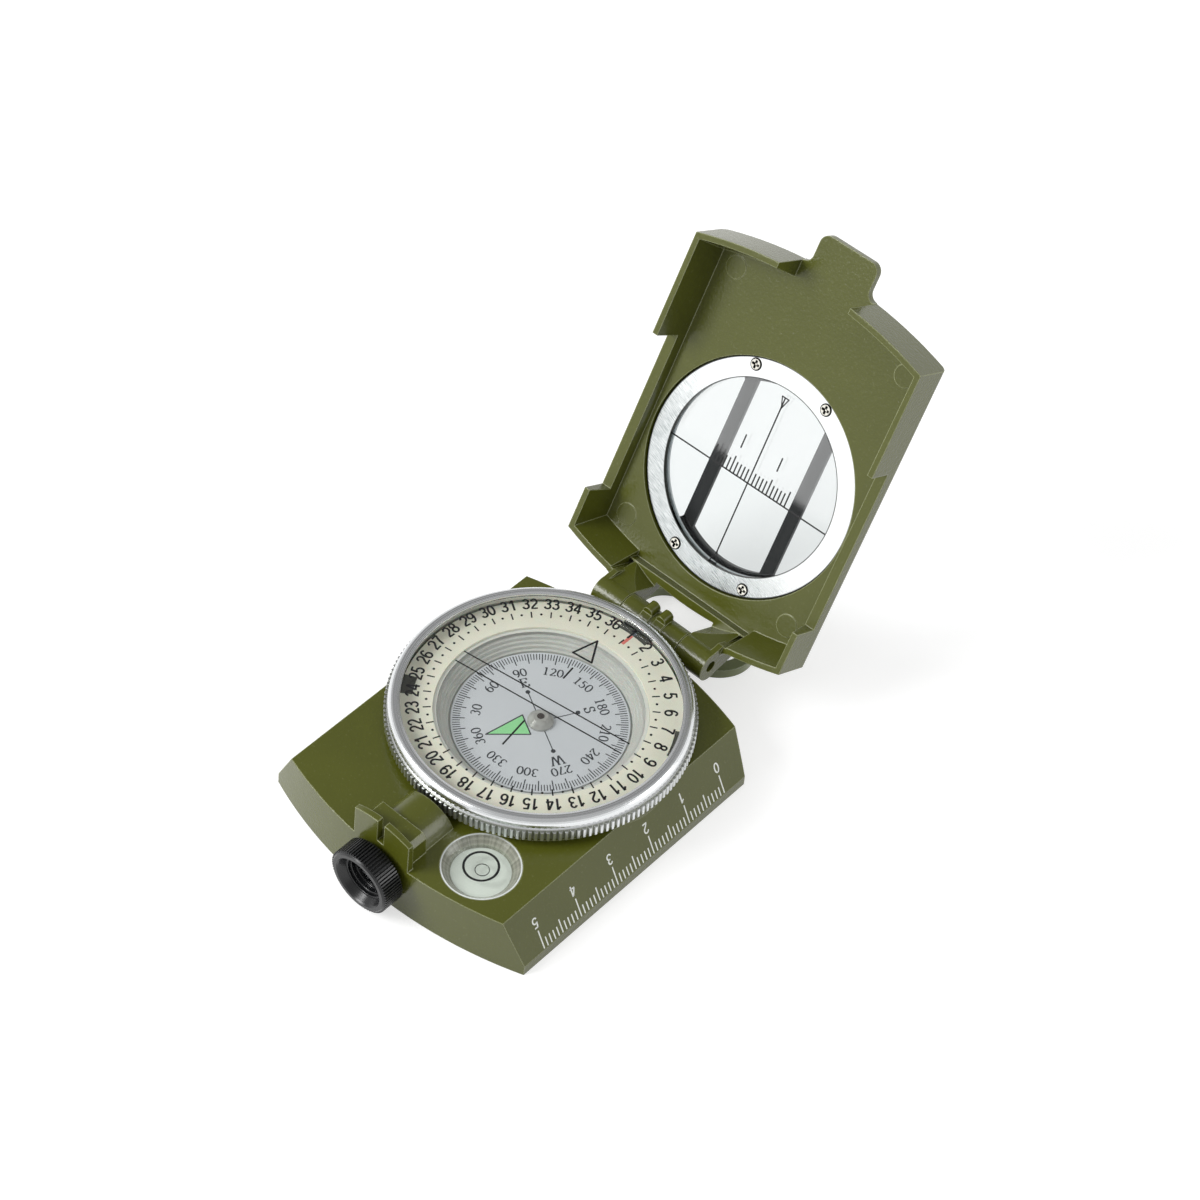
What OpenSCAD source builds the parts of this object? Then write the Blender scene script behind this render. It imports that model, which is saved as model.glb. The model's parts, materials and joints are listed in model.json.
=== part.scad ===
/* [Case] */
// Half width of the case at its top face
case_top_half_width = 26.8; // [26:0.1:28]
// Half width of the case at the foot of its sloping sides
case_foot_half_width = 31.56; // [30.5:0.01:33]
// Height of the upright foot below the slopes
case_foot_height = 2.43; // [1.5:0.01:3.5]
// Height of the top face of the case
case_height = 12; // [11.5:0.1:12.4]
// Distance from the dial axis to the middle of the front wall at the foot
case_front = 43.5; // [43.2:0.1:43.9]
// Distance from the dial axis to the middle of the back wall at the foot
case_back = 29.25; // [28.8:0.05:29.4]
// Radius of the bowed front and back walls
case_bow_radius = 91; // [85:1:100]
// Wall thickness of the hollow case casting
case_wall = 2; // [1.4:0.1:2.4]
// Thickness of the bottom cover
cover_thickness = 1.2; // [0.8:0.1:1.8]
// Width of the case rim left round the bottom cover
cover_rim = 2.2; // [1.8:0.1:3]

/* [Dial] */
// Radius of the round well that holds the capsule
well_radius = 20.3; // [19.8:0.1:20.6]
// Height of the floor of the well
well_floor = 4; // [3:0.1:5]
// Outer radius of the round collar that the bezel turns on
collar_radius = 27.8; // [27.6:0.05:27.9]
// Height of the top of the collar
collar_top = 14.9; // [14.7:0.1:15]
// Outer radius of the fixed luminous ring
luminous_ring_radius = 26.8; // [26:0.1:26.95]
// Thickness of the fixed luminous ring
luminous_ring_thickness = 0.8; // [0.5:0.1:1]

/* [Bezel] */
// Radius at the tips of the bezel's knurl
bezel_radius = 29.4; // [29.2:0.05:29.5]
// Number of teeth in the knurl
bezel_teeth = 165; // [120:1:180]
// Depth of the knurl teeth
bezel_tooth_depth = 0.55; // [0.3:0.05:0.7]
// Height of the bezel's lower edge
bezel_bottom = 13.8; // [13.7:0.1:14]
// Height of the knurled band
knurl_height = 2.5; // [2:0.1:2.6]
// Height of the top of the bezel
bezel_top = 18.5; // [18.3:0.1:18.6]
// Radius of the opening in the bezel's lip
bezel_lip_radius = 26.4; // [26:0.1:26.6]
// Thickness of the clear printed cover disc
dial_cover_thickness = 1.1; // [0.8:0.1:1.3]

/* [Capsule] */
// Radius of the compass card
card_radius = 16.9; // [15:0.1:17]
// Height of the printed face of the card
card_top = 12.2; // [11.5:0.1:12.6]
// Thickness of the card
card_thickness = 0.4; // [0.3:0.1:0.8]
// Height of the tip of the pivot pin
pivot_tip = 12.7; // [12.4:0.1:13]

/* [Level] */
// Radius of the round level
level_radius = 7.5; // [6.5:0.1:7.6]
// Distance of the level to the ruler side of the dial axis
level_x = 15.2; // [15:0.1:16]
// Distance of the level in front of the dial axis
level_y = 32.2; // [31.5:0.1:32.6]
// Depth of the level's pocket
level_depth = 6.2; // [5:0.1:7]

/* [Eyepiece] */
// Height of the eyepiece axis
eyepiece_z = 8.2; // [7.5:0.1:8.6]
// Radius of the ribbed focus ring
focus_ring_radius = 6.9; // [6:0.1:7.2]
// Length of the focus ring
focus_ring_length = 4.95; // [4:0.05:6]
// Number of ribs on the focus ring
focus_ribs = 68; // [40:1:80]
// Outer radius of the lens tube
lens_tube_radius = 4.2; // [3.8:0.1:4.6]
// Half width of the upright sight plate
sight_plate_half_width = 6.75; // [6.2:0.05:7]
// Height of the top of the sight plate
sight_plate_top = 20.2; // [19:0.1:20.4]
// Half width of the sight slot
sight_slot_half_width = 0.8; // [0.5:0.1:1.2]
// Half width of the block behind the sight plate
sight_block_half_width = 5.9; // [5:0.1:6.2]

/* [Hinge] */
// Distance from the dial axis to the hinge axis
hinge_y = 32.55; // [32.4:0.05:33]
// Height of the hinge axis
hinge_z = 12.45; // [12.3:0.05:12.6]
// Radius of the hinge knuckles
knuckle_radius = 3.16; // [2.6:0.02:3.2]
// Half length of the middle knuckle
middle_knuckle_half = 7.12; // [6.8:0.02:7.4]
// Distance from the middle plane to the end of an outer knuckle
knuckle_end = 14.1; // [13:0.1:14.4]
// Radius of the hinge pin
pin_radius = 1.2; // [0.9:0.05:1.5]
// Angle of the lid above the table, open as photographed
lid_angle = 61.16; // [50:0.01:90]

/* [Lid] */
// Half width of the lid
lid_half_width = 26.95; // [26.8:0.05:27.2]
// Distance from the hinge axis to the middle of the lid's far end
lid_length = 75.7; // [75.5:0.1:76.5]
// Depth of the lid's plate behind the hinge axis, at its inner face
plate_depth = 9.7; // [9.5:0.1:10.2]
// Thickness of the lid's plate
plate_thickness = 1.6; // [1.4:0.1:2]
// Depth of the rim of the four wings behind the hinge axis
wing_depth = 1.4; // [1.3:0.1:1.8]
// Depth of the lowered rims behind the hinge axis
low_rim_depth = 7.4; // [7.2:0.1:7.8]
// Thickness of the lid's walls at the rim
lid_wall = 1.2; // [1:0.05:1.4]
// Half width of the tab on the far end
tab_half_width = 6.7; // [6:0.1:7]
// Distance from the hinge axis to the end of the tab
tab_reach = 82.2; // [80:0.1:84]

/* [Window] */
// Outer radius of the clamping ring
clamp_ring_radius = 23.4; // [23:0.1:23.6]
// Inner radius of the clamping ring
clamp_ring_opening = 19.3; // [18.6:0.1:19.8]
// Thickness of the clamping ring
clamp_ring_thickness = 0.8; // [0.5:0.1:0.9]
// Radius of the sight glass
glass_radius = 20.3; // [20:0.1:20.7]
// Thickness of the sight glass
glass_thickness = 1; // [0.8:0.1:1.2]
// Thickness of the ledge that the sight glass rests on
glass_ledge_thickness = 0.6; // [0.5:0.1:0.8]
// Depth of the black frame behind the window
rear_frame_depth = 2.6; // [2.2:0.1:3.2]
// Radius of the screw heads in the clamping ring
screw_head_radius = 1.1; // [0.8:0.05:1.2]

/* [Thumb ring] */
// Half of the overall width of the thumb ring
thumb_ring_half_width = 14.25; // [12:0.05:15]
// Width of the thumb ring's band
thumb_band_width = 2.6; // [2:0.1:3]
// Thickness of the thumb ring's band
thumb_band_thickness = 2; // [1.6:0.1:2.4]
// Reach of the thumb ring's centre line from its axis
thumb_ring_reach = 16.4; // [14:0.1:18]
// Angle of the ring below level as it lies behind the case
thumb_ring_droop = 8; // [6:0.5:8.5]

/* [Hidden] */
$fn = 96;

// Clearances shared by the pieces that fit together
running_fit = 0.05;
fixed_fit = 0.03;
loose_gap = 0.3;
cut_margin = 1;

// Case, worked out from its driving sizes
slope_run = case_foot_half_width - case_top_half_width;
slope_rise = case_height - case_foot_height;
slope_per_mm = slope_run / slope_rise;
front_centre_y = case_bow_radius - case_front;
back_centre_y = case_back - case_bow_radius;
front_draft_per_mm = 0.05;
back_draft_per_mm = 0.017;
cavity_top = case_height - case_wall;
cavity_half_width = case_foot_half_width - cover_rim - cover_thickness;
boss_wall = 2;

// Dial stack, worked out from the case and the bezel
luminous_ring_top = collar_top + luminous_ring_thickness;
back_pad_width = 1.2;
side_pad_width = 1.4;
front_pad_width = 2.5;
pad_floor = 0.2;
dial_cover_top = bezel_top - 0.5;
dial_cover_bottom = dial_cover_top - dial_cover_thickness;
bezel_bore = collar_radius + running_fit;
bezel_wall = bezel_radius - bezel_tooth_depth;
bezel_throat = luminous_ring_radius + loose_gap;
dial_cover_radius = bezel_throat + 0.5;
knurl_top = bezel_bottom + knurl_height;
spring_z = bezel_bottom + 0.45;
spring_thickness = 0.4;
spring_inner = collar_radius - 0.45;
spring_outer = collar_radius + 0.3;

// Capsule, worked out from the well and the card
bowl_radius = well_radius - fixed_fit;
bowl_top = 15.2;
bowl_bore = card_radius + 0.4;
bowl_floor_thickness = 1;
window_thickness = 0.8;
window_radius = bowl_radius - 0.7;
window_bottom = bowl_top - window_thickness;
step_height = 0.7;
step_width = (window_radius - 0.6 - bowl_bore) / 3;
cup_radius = 2.5;
cup_top = 13.8;
jewel_radius = 0.7;
magnet_radius = 5;
magnet_thickness = 1.2;

// Level, worked out from its pocket
vial_bottom = case_height - level_depth;
chamber_radius = 5.7;
chamber_top = case_height - 0.5;
level_disc_top = case_height - 1.9;

// Eyepiece and sight, worked out from the case front
sight_front = case_front - front_draft_per_mm * case_height;
sight_plate_back = sight_front - 1.7;
sight_plate_shoulder = sight_plate_top - 1.45;
sight_slot_floor = 14.9;
sight_block_back = sight_plate_back - 4.3;
sight_block_top = 17.15;
sight_block_chamfer = 0.9;
barrel_z = case_height - 1.6;
barrel_clearance = bezel_radius + 0.7;
focus_ring_back = case_front + 0.05;
focus_ring_front = focus_ring_back + focus_ring_length;
focus_ring_rim = 1.4;
focus_rib_depth = 0.35;
lens_tube_front = focus_ring_back + 1.6;
lens_tube_back = 36.6;
lens_tube_wall = 0.6;
lens_radius = lens_tube_radius - lens_tube_wall - fixed_fit;
lens_back = focus_ring_back - 0.4;
lens_thickness = 1.2;
lens_bulge = 0.45;
tube_bore = lens_tube_radius + running_fit;
light_bore = 3;

// Hinge and the ear that carries the thumb ring
knuckle_gap = 0.18;
pin_half_length = knuckle_end - 0.9;
ear_half = middle_knuckle_half;
lug_half = 4.6;
lug_radius = 2.1;
thumb_y = hinge_y + 4.45;
thumb_z = 3.6;
thumb_bar_radius = 0.95;
sight_bump_radius = 1.15;
sight_bump_x = 1.65;
sight_bump_top = 17.2;
sight_bump_back = hinge_y + 1.75;
sight_bump_front = hinge_y - 0.75;

// Lid, in its own frame: y runs from the hinge along the lid and z towards its inside
plate_in = -plate_depth;
plate_out = -plate_depth - plate_thickness;
wing_rim = -wing_depth;
low_rim = -low_rim_depth;
near_end = 2.1;
crescent_apex = 3.9;
crescent_edge = 5.7;
crescent_half = 14.75;
lip_seat = 0.5;
crescent_radius = 66;
cutaway_start = 15.2;
cutaway_end = 49.8;
far_gap_half = 8.5;
end_draft = 2.3;
side_draft = 1.3;
outer_round = 1.3;
tab_corner = 2;
tab_root = 1.8;
tab_seat = 5;
mark_radius = 2.25;
mark_height = 0.12;
mark_x = 20.5;
mark_near = 11.7;
mark_far = 67;
window_y = hinge_y - 0.15;
pocket_radius = clamp_ring_radius + 0.2;
clamp_ring_top = plate_in - 0.7;
glass_top = clamp_ring_top - clamp_ring_thickness;
glass_bottom = glass_top - glass_thickness;
window_collar_radius = pocket_radius + 1;
window_collar_end = glass_bottom - glass_ledge_thickness;
ledge_radius = clamp_ring_opening + 0.3;
screw_x = 8.6;
screw_y = 20.16;
screw_shank = 0.6;
screw_head = 0.55;
screw_proud = 0.25;
screw_length = glass_thickness + 0.3;
frame_end = window_collar_end - rear_frame_depth;
frame_inner = ledge_radius - 1.2;
frame_outer = ledge_radius + 1.4;
frame_half = 12.6;
leg_inner = 8;
leg_outer = 11.7;
leg_thickness = 1.2;
bezel_clearance = bezel_radius + 0.6;

// Thumb ring path: a straight bar, two side arcs and a wide far arc
thumb_centre_half = thumb_ring_half_width - thumb_band_width / 2;
thumb_side_radius = 7.3;
thumb_bar_half = thumb_centre_half - thumb_side_radius;
thumb_far_radius = (
    pow(thumb_bar_half, 2) + pow(thumb_ring_reach - thumb_side_radius, 2) - pow(thumb_side_radius, 2)
) / (2 * (thumb_ring_reach - 2 * thumb_side_radius));
thumb_far_centre = thumb_ring_reach - thumb_far_radius;
thumb_turn = atan2(thumb_side_radius - thumb_far_centre, thumb_bar_half);

// A straight prism along X whose outline is drawn in the plane of Y and Z
module along_x(from, to) {
    translate([from, 0, 0]) rotate([90, 0, 90]) linear_extrude(to - from) children();
}

// A straight prism along Y whose outline is drawn in the plane of X and Z
module along_y(from, to) {
    translate([0, to, 0]) rotate([90, 0, 0]) linear_extrude(to - from) children();
}

// A round bar along Y
module rod_y(radius, from, to, x = 0, z = 0) {
    translate([x, to, z]) rotate([90, 0, 0]) cylinder(h = to - from, r = radius);
}

// A round bar along X
module rod_x(radius, from, to, y = 0, z = 0) {
    translate([from, y, z]) rotate([0, 90, 0]) cylinder(h = to - from, r = radius);
}

// A flat ring
module flat_ring(outer, inner, bottom, top) {
    difference() {
        translate([0, 0, bottom]) cylinder(h = top - bottom, r = outer);
        translate([0, 0, bottom - cut_margin]) cylinder(h = top - bottom + 2 * cut_margin, r = inner);
    }
}

// The round of the bowed front and back walls, with their slight draft
module bowed_walls(inset, top) {
    intersection() {
        translate([0, front_centre_y, 0]) cylinder(
            h = top,
            r1 = case_bow_radius - inset,
            r2 = case_bow_radius - inset - front_draft_per_mm * top,
            $fn = 360
        );
        translate([0, back_centre_y, 0]) cylinder(
            h = top,
            r1 = case_bow_radius - inset,
            r2 = case_bow_radius - inset - back_draft_per_mm * top,
            $fn = 360
        );
    }
}

// Solid outside of the case, sloping at both sides
module case_block() {
    intersection() {
        along_y(-case_front - cut_margin, case_back + cut_margin) polygon([
            [-case_foot_half_width, 0],
            [case_foot_half_width, 0],
            [case_foot_half_width, case_foot_height],
            [case_top_half_width, case_height],
            [-case_top_half_width, case_height],
            [-case_foot_half_width, case_foot_height],
        ]);
        bowed_walls(0, case_height);
    }
}

// Upright plate with the sight slot, flush with the bowed front wall
module sight_plate() {
    plate_arc = (pow(sight_plate_half_width, 2) + pow(sight_plate_top - sight_plate_shoulder, 2))
        / (2 * (sight_plate_top - sight_plate_shoulder));
    difference() {
        intersection() {
            along_y(-case_front, -sight_plate_back) intersection() {
                translate([-sight_plate_half_width, case_height - cut_margin])
                    square([2 * sight_plate_half_width, sight_plate_top - case_height + cut_margin]);
                translate([0, sight_plate_top - plate_arc]) circle(r = plate_arc);
            }
            bowed_walls(0, sight_plate_top + cut_margin);
        }
        translate([-sight_slot_half_width, -case_front - cut_margin, sight_slot_floor]) cube([
            2 * sight_slot_half_width,
            case_front - sight_plate_back + cut_margin,
            sight_plate_top,
        ]);
    }
}

// Chamfered block and round-backed barrel behind the sight plate
module sight_block() {
    along_y(-sight_plate_back - fixed_fit, -sight_block_back) polygon([
        [-sight_block_half_width, case_height - cut_margin],
        [sight_block_half_width, case_height - cut_margin],
        [sight_block_half_width, sight_block_top - sight_block_chamfer - 0.15],
        [sight_block_half_width - sight_block_chamfer, sight_block_top],
        [-sight_block_half_width + sight_block_chamfer, sight_block_top],
        [-sight_block_half_width, sight_block_top - sight_block_chamfer - 0.15],
    ]);
    difference() {
        intersection() {
            rod_y(sight_block_half_width, -sight_block_back - fixed_fit, -collar_radius + 1, 0, barrel_z);
            translate([-sight_block_half_width, -sight_plate_back, barrel_z])
                cube([2 * sight_block_half_width, sight_plate_back, sight_block_top]);
        }
        translate([0, 0, case_height]) cylinder(h = sight_block_top, r = barrel_clearance);
    }
}

// Middle knuckle with its ear down to the thumb ring's lug
module hinge_ear() {
    along_x(-ear_half, ear_half) {
        translate([hinge_y, hinge_z]) circle(r = knuckle_radius);
        translate([case_back - 3, hinge_z - knuckle_radius])
            square([hinge_y - case_back + 3, case_height - hinge_z + knuckle_radius]);
    }
    along_x(-lug_half, lug_half) {
        translate([thumb_y, thumb_z]) circle(r = lug_radius);
        translate([case_back - 3, thumb_z - lug_radius])
            square([thumb_y - case_back + 3, 2 * lug_radius]);
        translate([case_back - 3, thumb_z])
            square([hinge_y - case_back + 3, hinge_z - thumb_z - knuckle_radius / 2]);
    }
}

// Two rounded sight bumps on the middle knuckle, each with a low pad in front
module sight_bumps() {
    for (side = [-1, 1]) {
        rod_y(
            sight_bump_radius, sight_bump_front, sight_bump_back,
            side * sight_bump_x, sight_bump_top - sight_bump_radius
        );
        translate([side * sight_bump_x - sight_bump_radius, sight_bump_front, hinge_z + pin_radius + cut_margin])
            cube([
                2 * sight_bump_radius,
                sight_bump_back - sight_bump_front,
                sight_bump_top - sight_bump_radius - hinge_z - pin_radius - cut_margin,
            ]);
        intersection() {
            rod_x(
                knuckle_radius + 0.3,
                side * sight_bump_x - sight_bump_radius, side * sight_bump_x + sight_bump_radius,
                hinge_y, hinge_z
            );
            translate([-ear_half, hinge_y - knuckle_radius, hinge_z + 2.15])
                cube([2 * ear_half, knuckle_radius, knuckle_radius]);
        }
    }
}

module base_housing() {
    color("#5a6128") difference() {
        union() {
            case_block();
            translate([0, 0, cavity_top - 0.5]) cylinder(h = collar_top - cavity_top + 0.5, r = collar_radius);
            sight_plate();
            sight_block();
            hinge_ear();
            sight_bumps();
        }
        case_cavity();
        translate([0, 0, -cut_margin]) linear_extrude(cover_thickness + cut_margin + fixed_fit)
            cover_outline(fixed_fit);
        translate([0, 0, well_floor]) cylinder(h = case_height, r = well_radius);
        translate([level_x, -level_y, vial_bottom]) cylinder(h = level_depth + cut_margin, r = level_radius + fixed_fit);
        rod_y(tube_bore, -case_front - cut_margin, -lens_tube_back + 0.6, 0, eyepiece_z);
        rod_y(light_bore, -lens_tube_back, -well_radius + cut_margin, 0, eyepiece_z);
        rod_x(pin_radius + fixed_fit, -ear_half - cut_margin, ear_half + cut_margin, hinge_y, hinge_z);
        rod_x(
            thumb_bar_radius + running_fit,
            -lug_half - cut_margin, lug_half + cut_margin,
            thumb_y, thumb_z
        );
        flat_ring(
            collar_radius + cut_margin, spring_inner - running_fit,
            spring_z - fixed_fit, spring_z + spring_thickness + fixed_fit
        );
    }
}

// Plan outline of the bottom cover, and of its seat when grown
module cover_outline(grow) {
    reach = case_bow_radius - cover_rim + grow;
    half = case_foot_half_width - cover_rim + grow;
    intersection() {
        translate([-half, -case_front]) square([2 * half, case_front + case_back]);
        translate([0, front_centre_y]) circle(r = reach, $fn = 360);
        translate([0, back_centre_y]) circle(r = reach, $fn = 360);
    }
}

// Hollow of the casting, open below, round the well, the level and the eyepiece
module case_cavity() {
    difference() {
        intersection() {
            along_y(-case_front, case_back) polygon([
                [-cavity_half_width, cover_thickness],
                [cavity_half_width, cover_thickness],
                [cavity_half_width, case_foot_height],
                [cavity_half_width - slope_per_mm * (cavity_top - case_foot_height), cavity_top],
                [-cavity_half_width + slope_per_mm * (cavity_top - case_foot_height), cavity_top],
                [-cavity_half_width, case_foot_height],
            ]);
            bowed_walls(cover_rim + cover_thickness, case_height);
        }
        cylinder(h = case_height, r = well_radius + boss_wall);
        translate([level_x, -level_y, 0]) cylinder(h = case_height, r = level_radius + boss_wall);
        translate([-tube_bore - boss_wall, -case_front, 0])
            cube([2 * (tube_bore + boss_wall), case_front, case_height]);
    }
}

module bottom_cover() {
    color("#4c5222") linear_extrude(cover_thickness) cover_outline(0);
}

module hinge_pin() {
    color("#8a8d8f") rod_x(pin_radius, -pin_half_length, pin_half_length, hinge_y, hinge_z);
}

module luminous_ring() {
    color("#dcdcc8") difference() {
        flat_ring(luminous_ring_radius, well_radius, collar_top, luminous_ring_top);
        ring_pad_set(fixed_fit, cut_margin);
    }
}

// Three dark pads let into the rim of the luminous ring, as angles from the back
module ring_pad_set(grow, overrun) {
    pad_places = [[-7.5, 7.5, back_pad_width], [57, 71, side_pad_width], [-126, -116, front_pad_width]];
    for (place = pad_places) {
        rotate([0, 0, 90 - place[1]])
            rotate_extrude(angle = place[1] - place[0])
                translate([luminous_ring_radius - place[2] - grow, collar_top + pad_floor - grow]) square([
                    place[2] + grow + overrun,
                    luminous_ring_thickness - pad_floor + grow + overrun,
                ]);
    }
}

module ring_pads() {
    color("#3c3e38") ring_pad_set(0, 0);
}

module capsule_bowl() {
    inner_floor = well_floor + bowl_floor_thickness;
    color("#b9bec2") rotate_extrude($fn = 128) polygon([
        [0, well_floor],
        [bowl_radius, well_floor],
        [bowl_radius, bowl_top],
        [window_radius + fixed_fit, bowl_top],
        [window_radius + fixed_fit, window_bottom],
        [bowl_bore + 3 * step_width, window_bottom],
        [bowl_bore + 3 * step_width, window_bottom - step_height],
        [bowl_bore + 2 * step_width, window_bottom - step_height],
        [bowl_bore + 2 * step_width, window_bottom - 2 * step_height],
        [bowl_bore + step_width, window_bottom - 2 * step_height],
        [bowl_bore + step_width, window_bottom - 3 * step_height],
        [bowl_bore, window_bottom - 3 * step_height],
        [bowl_bore, inner_floor],
        [1.2, inner_floor],
        [1.2, inner_floor - 0.5],
        [0, inner_floor - 0.5],
    ]);
}

module capsule_window() {
    color("#dfe8ea", 0.3) translate([0, 0, window_bottom])
        cylinder(h = window_thickness, r = window_radius, $fn = 128);
}

module pivot_pin() {
    seat = well_floor + bowl_floor_thickness - 0.5;
    color("#9a9da0") rotate_extrude() polygon([
        [0, seat],
        [1.2 - fixed_fit, seat],
        [1.2 - fixed_fit, seat + 1.5],
        [0.45, seat + 2],
        [0.45, pivot_tip - 0.8],
        [0.06, pivot_tip],
        [0, pivot_tip],
    ]);
}

module level_vial() {
    color("#e4eaea", 0.4) translate([level_x, -level_y, 0]) rotate_extrude() polygon([
        [chamber_radius, vial_bottom],
        [level_radius, vial_bottom],
        [level_radius, case_height],
        [0, case_height],
        [0, chamber_top],
        [chamber_radius, chamber_top - 0.4],
    ]);
}

module level_disc() {
    color("#eef0ee") translate([level_x, -level_y, vial_bottom])
        cylinder(h = level_disc_top - vial_bottom, r = chamber_radius - fixed_fit);
}

module bezel_spring() {
    gap_angle = 14;
    color("#a8abad") rotate([0, 0, gap_angle / 2]) rotate_extrude(angle = 360 - gap_angle)
        translate([spring_inner, spring_z]) square([spring_outer - spring_inner, spring_thickness]);
}

module bezel() {
    tooth = 360 / bezel_teeth;
    shoulder = bezel_wall - 0.1;
    crown_radius = 1.4;
    crown_z = bezel_top - crown_radius;
    crown_r = shoulder - crown_radius;
    crown = [
        for (a = [0 : 15 : 90])
            [crown_r + crown_radius * cos(a), crown_z + crown_radius * sin(a)]
    ];
    color("#d3d6d8") difference() {
        union() {
            rotate_extrude($fn = 180) polygon(concat(
                [
                    [bezel_bore, bezel_bottom],
                    [bezel_wall, bezel_bottom],
                    [bezel_wall, knurl_top],
                    [shoulder - 0.4, knurl_top + 0.25],
                    [shoulder, knurl_top + 0.5],
                ],
                crown,
                [
                    [bezel_lip_radius + 0.5, bezel_top],
                    [bezel_lip_radius, bezel_top - 0.2],
                    [bezel_lip_radius, dial_cover_top],
                    [dial_cover_radius + fixed_fit, dial_cover_top],
                    [dial_cover_radius + fixed_fit, dial_cover_bottom],
                    [bezel_throat, dial_cover_bottom],
                    [bezel_throat, collar_top + 0.1],
                    [bezel_bore, collar_top + 0.1],
                ]
            ));
            translate([0, 0, bezel_bottom + 0.15]) linear_extrude(knurl_height - 0.3) difference() {
                polygon([
                    for (i = [0 : bezel_teeth - 1])
                        for (point = [[0.08, 0], [0.3, 1], [0.7, 1], [0.92, 0]])
                            (bezel_wall + point[1] * bezel_tooth_depth)
                                * [cos((i + point[0]) * tooth), sin((i + point[0]) * tooth)]
                ]);
                circle(r = bezel_wall - 0.3, $fn = 180);
            }
        }
        flat_ring(
            spring_outer + running_fit, bezel_bore - cut_margin,
            spring_z - fixed_fit, spring_z + spring_thickness + fixed_fit
        );
    }
}

module dial_cover() {
    color("#e6ecec", 0.3) translate([0, 0, dial_cover_bottom])
        cylinder(h = dial_cover_thickness, r = dial_cover_radius, $fn = 180);
}

module compass_card() {
    color("#bcc3cb") difference() {
        translate([0, 0, card_top - card_thickness]) cylinder(h = card_thickness, r = card_radius, $fn = 180);
        translate([0, 0, card_top - card_thickness - cut_margin])
            cylinder(h = card_thickness + 2 * cut_margin, r = cup_radius - 0.8);
    }
}

module card_magnet() {
    top = card_top - card_thickness;
    color("#4a4c50") flat_ring(magnet_radius, cup_radius, top - magnet_thickness, top);
}

module pivot_cup() {
    color("#d9dfe2", 0.5) rotate_extrude() polygon([
        [0.9, card_top],
        [cup_radius, card_top],
        [cup_radius, card_top + 0.5],
        [1.4, cup_top],
        [jewel_radius + fixed_fit, cup_top],
        [jewel_radius + fixed_fit, pivot_tip + 0.05],
        [0.9, pivot_tip - 0.1],
    ]);
}

module pivot_jewel() {
    color("#6b4a3c") rotate_extrude() polygon([
        [0, pivot_tip + 0.06],
        [0.35, pivot_tip + 0.06],
        [jewel_radius, pivot_tip + 0.06],
        [jewel_radius, cup_top],
        [0, cup_top],
    ]);
}

module lens_tube() {
    color("#2b2c2d") difference() {
        rod_y(lens_tube_radius, -lens_tube_front, -lens_tube_back, 0, eyepiece_z);
        rod_y(
            lens_tube_radius - lens_tube_wall,
            -lens_tube_front - cut_margin, -lens_tube_back + cut_margin,
            0, eyepiece_z
        );
    }
}

// Lens with two bulging faces
module eyepiece_lens() {
    bulge_radius = (pow(lens_radius, 2) + pow(lens_bulge, 2)) / (2 * lens_bulge);
    half_angle = asin(lens_radius / bulge_radius);
    face = [
        for (step = [6 : -1 : 0])
            let (a = half_angle * step / 6)
                [bulge_radius * sin(a), bulge_radius * cos(a) - bulge_radius + lens_bulge]
    ];
    color("#cfd9dc", 0.4) translate([0, -lens_back - lens_bulge, eyepiece_z]) rotate([90, 0, 0])
        rotate_extrude() polygon(concat(
            [for (point = [0 : 6]) [face[6 - point][0], -face[6 - point][1]]],
            [for (point = face) [point[0], lens_thickness + point[1]]]
        ));
}

// Ribbed black ring with a dished front
module focus_ring() {
    rib = 360 / focus_ribs;
    rib_root = focus_ring_radius - focus_rib_depth;
    dish_radius = focus_ring_radius - focus_ring_rim;
    hole_radius = lens_tube_radius - lens_tube_wall;
    dish_depth = focus_ring_front - lens_tube_front - 0.1;
    color("#1d1e1f") translate([0, -focus_ring_back, eyepiece_z]) rotate([90, 0, 0]) difference() {
        union() {
            rotate_extrude() polygon([
                [lens_tube_radius + running_fit, 0],
                [rib_root - 0.3, 0],
                [rib_root, 0.3],
                [rib_root, focus_ring_length - 0.3],
                [rib_root - 0.3, focus_ring_length],
                [dish_radius, focus_ring_length],
                [dish_radius - 0.25, focus_ring_length - 0.3],
                [hole_radius, focus_ring_length - dish_depth],
                [hole_radius, lens_tube_front - focus_ring_back + 0.02],
                [lens_tube_radius + running_fit, lens_tube_front - focus_ring_back + 0.02],
            ]);
            translate([0, 0, 0.35]) linear_extrude(focus_ring_length - 0.7) difference() {
                polygon([
                    for (i = [0 : focus_ribs - 1])
                        for (point = [[0.05, 0], [0.25, 1], [0.65, 1], [0.85, 0]])
                            (rib_root + point[1] * focus_rib_depth)
                                * [cos((i + point[0]) * rib), sin((i + point[0]) * rib)]
                ]);
                circle(r = rib_root - 0.3);
            }
        }
    }
}

// Places what is drawn in the lid's own frame at the hinge, open as photographed
module at_lid() {
    translate([0, hinge_y, hinge_z]) rotate([lid_angle, 0, 0]) children();
}

// Plan outline of the lid inside its bowed ends, inset evenly all round
module lid_outline(inset) {
    intersection() {
        translate([-lid_half_width + inset, 0]) square([2 * (lid_half_width - inset), lid_length]);
        translate([0, lid_length - case_bow_radius]) circle(r = case_bow_radius - inset, $fn = 360);
        translate([0, near_end + case_bow_radius]) circle(r = case_bow_radius - inset, $fn = 360);
    }
}

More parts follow.
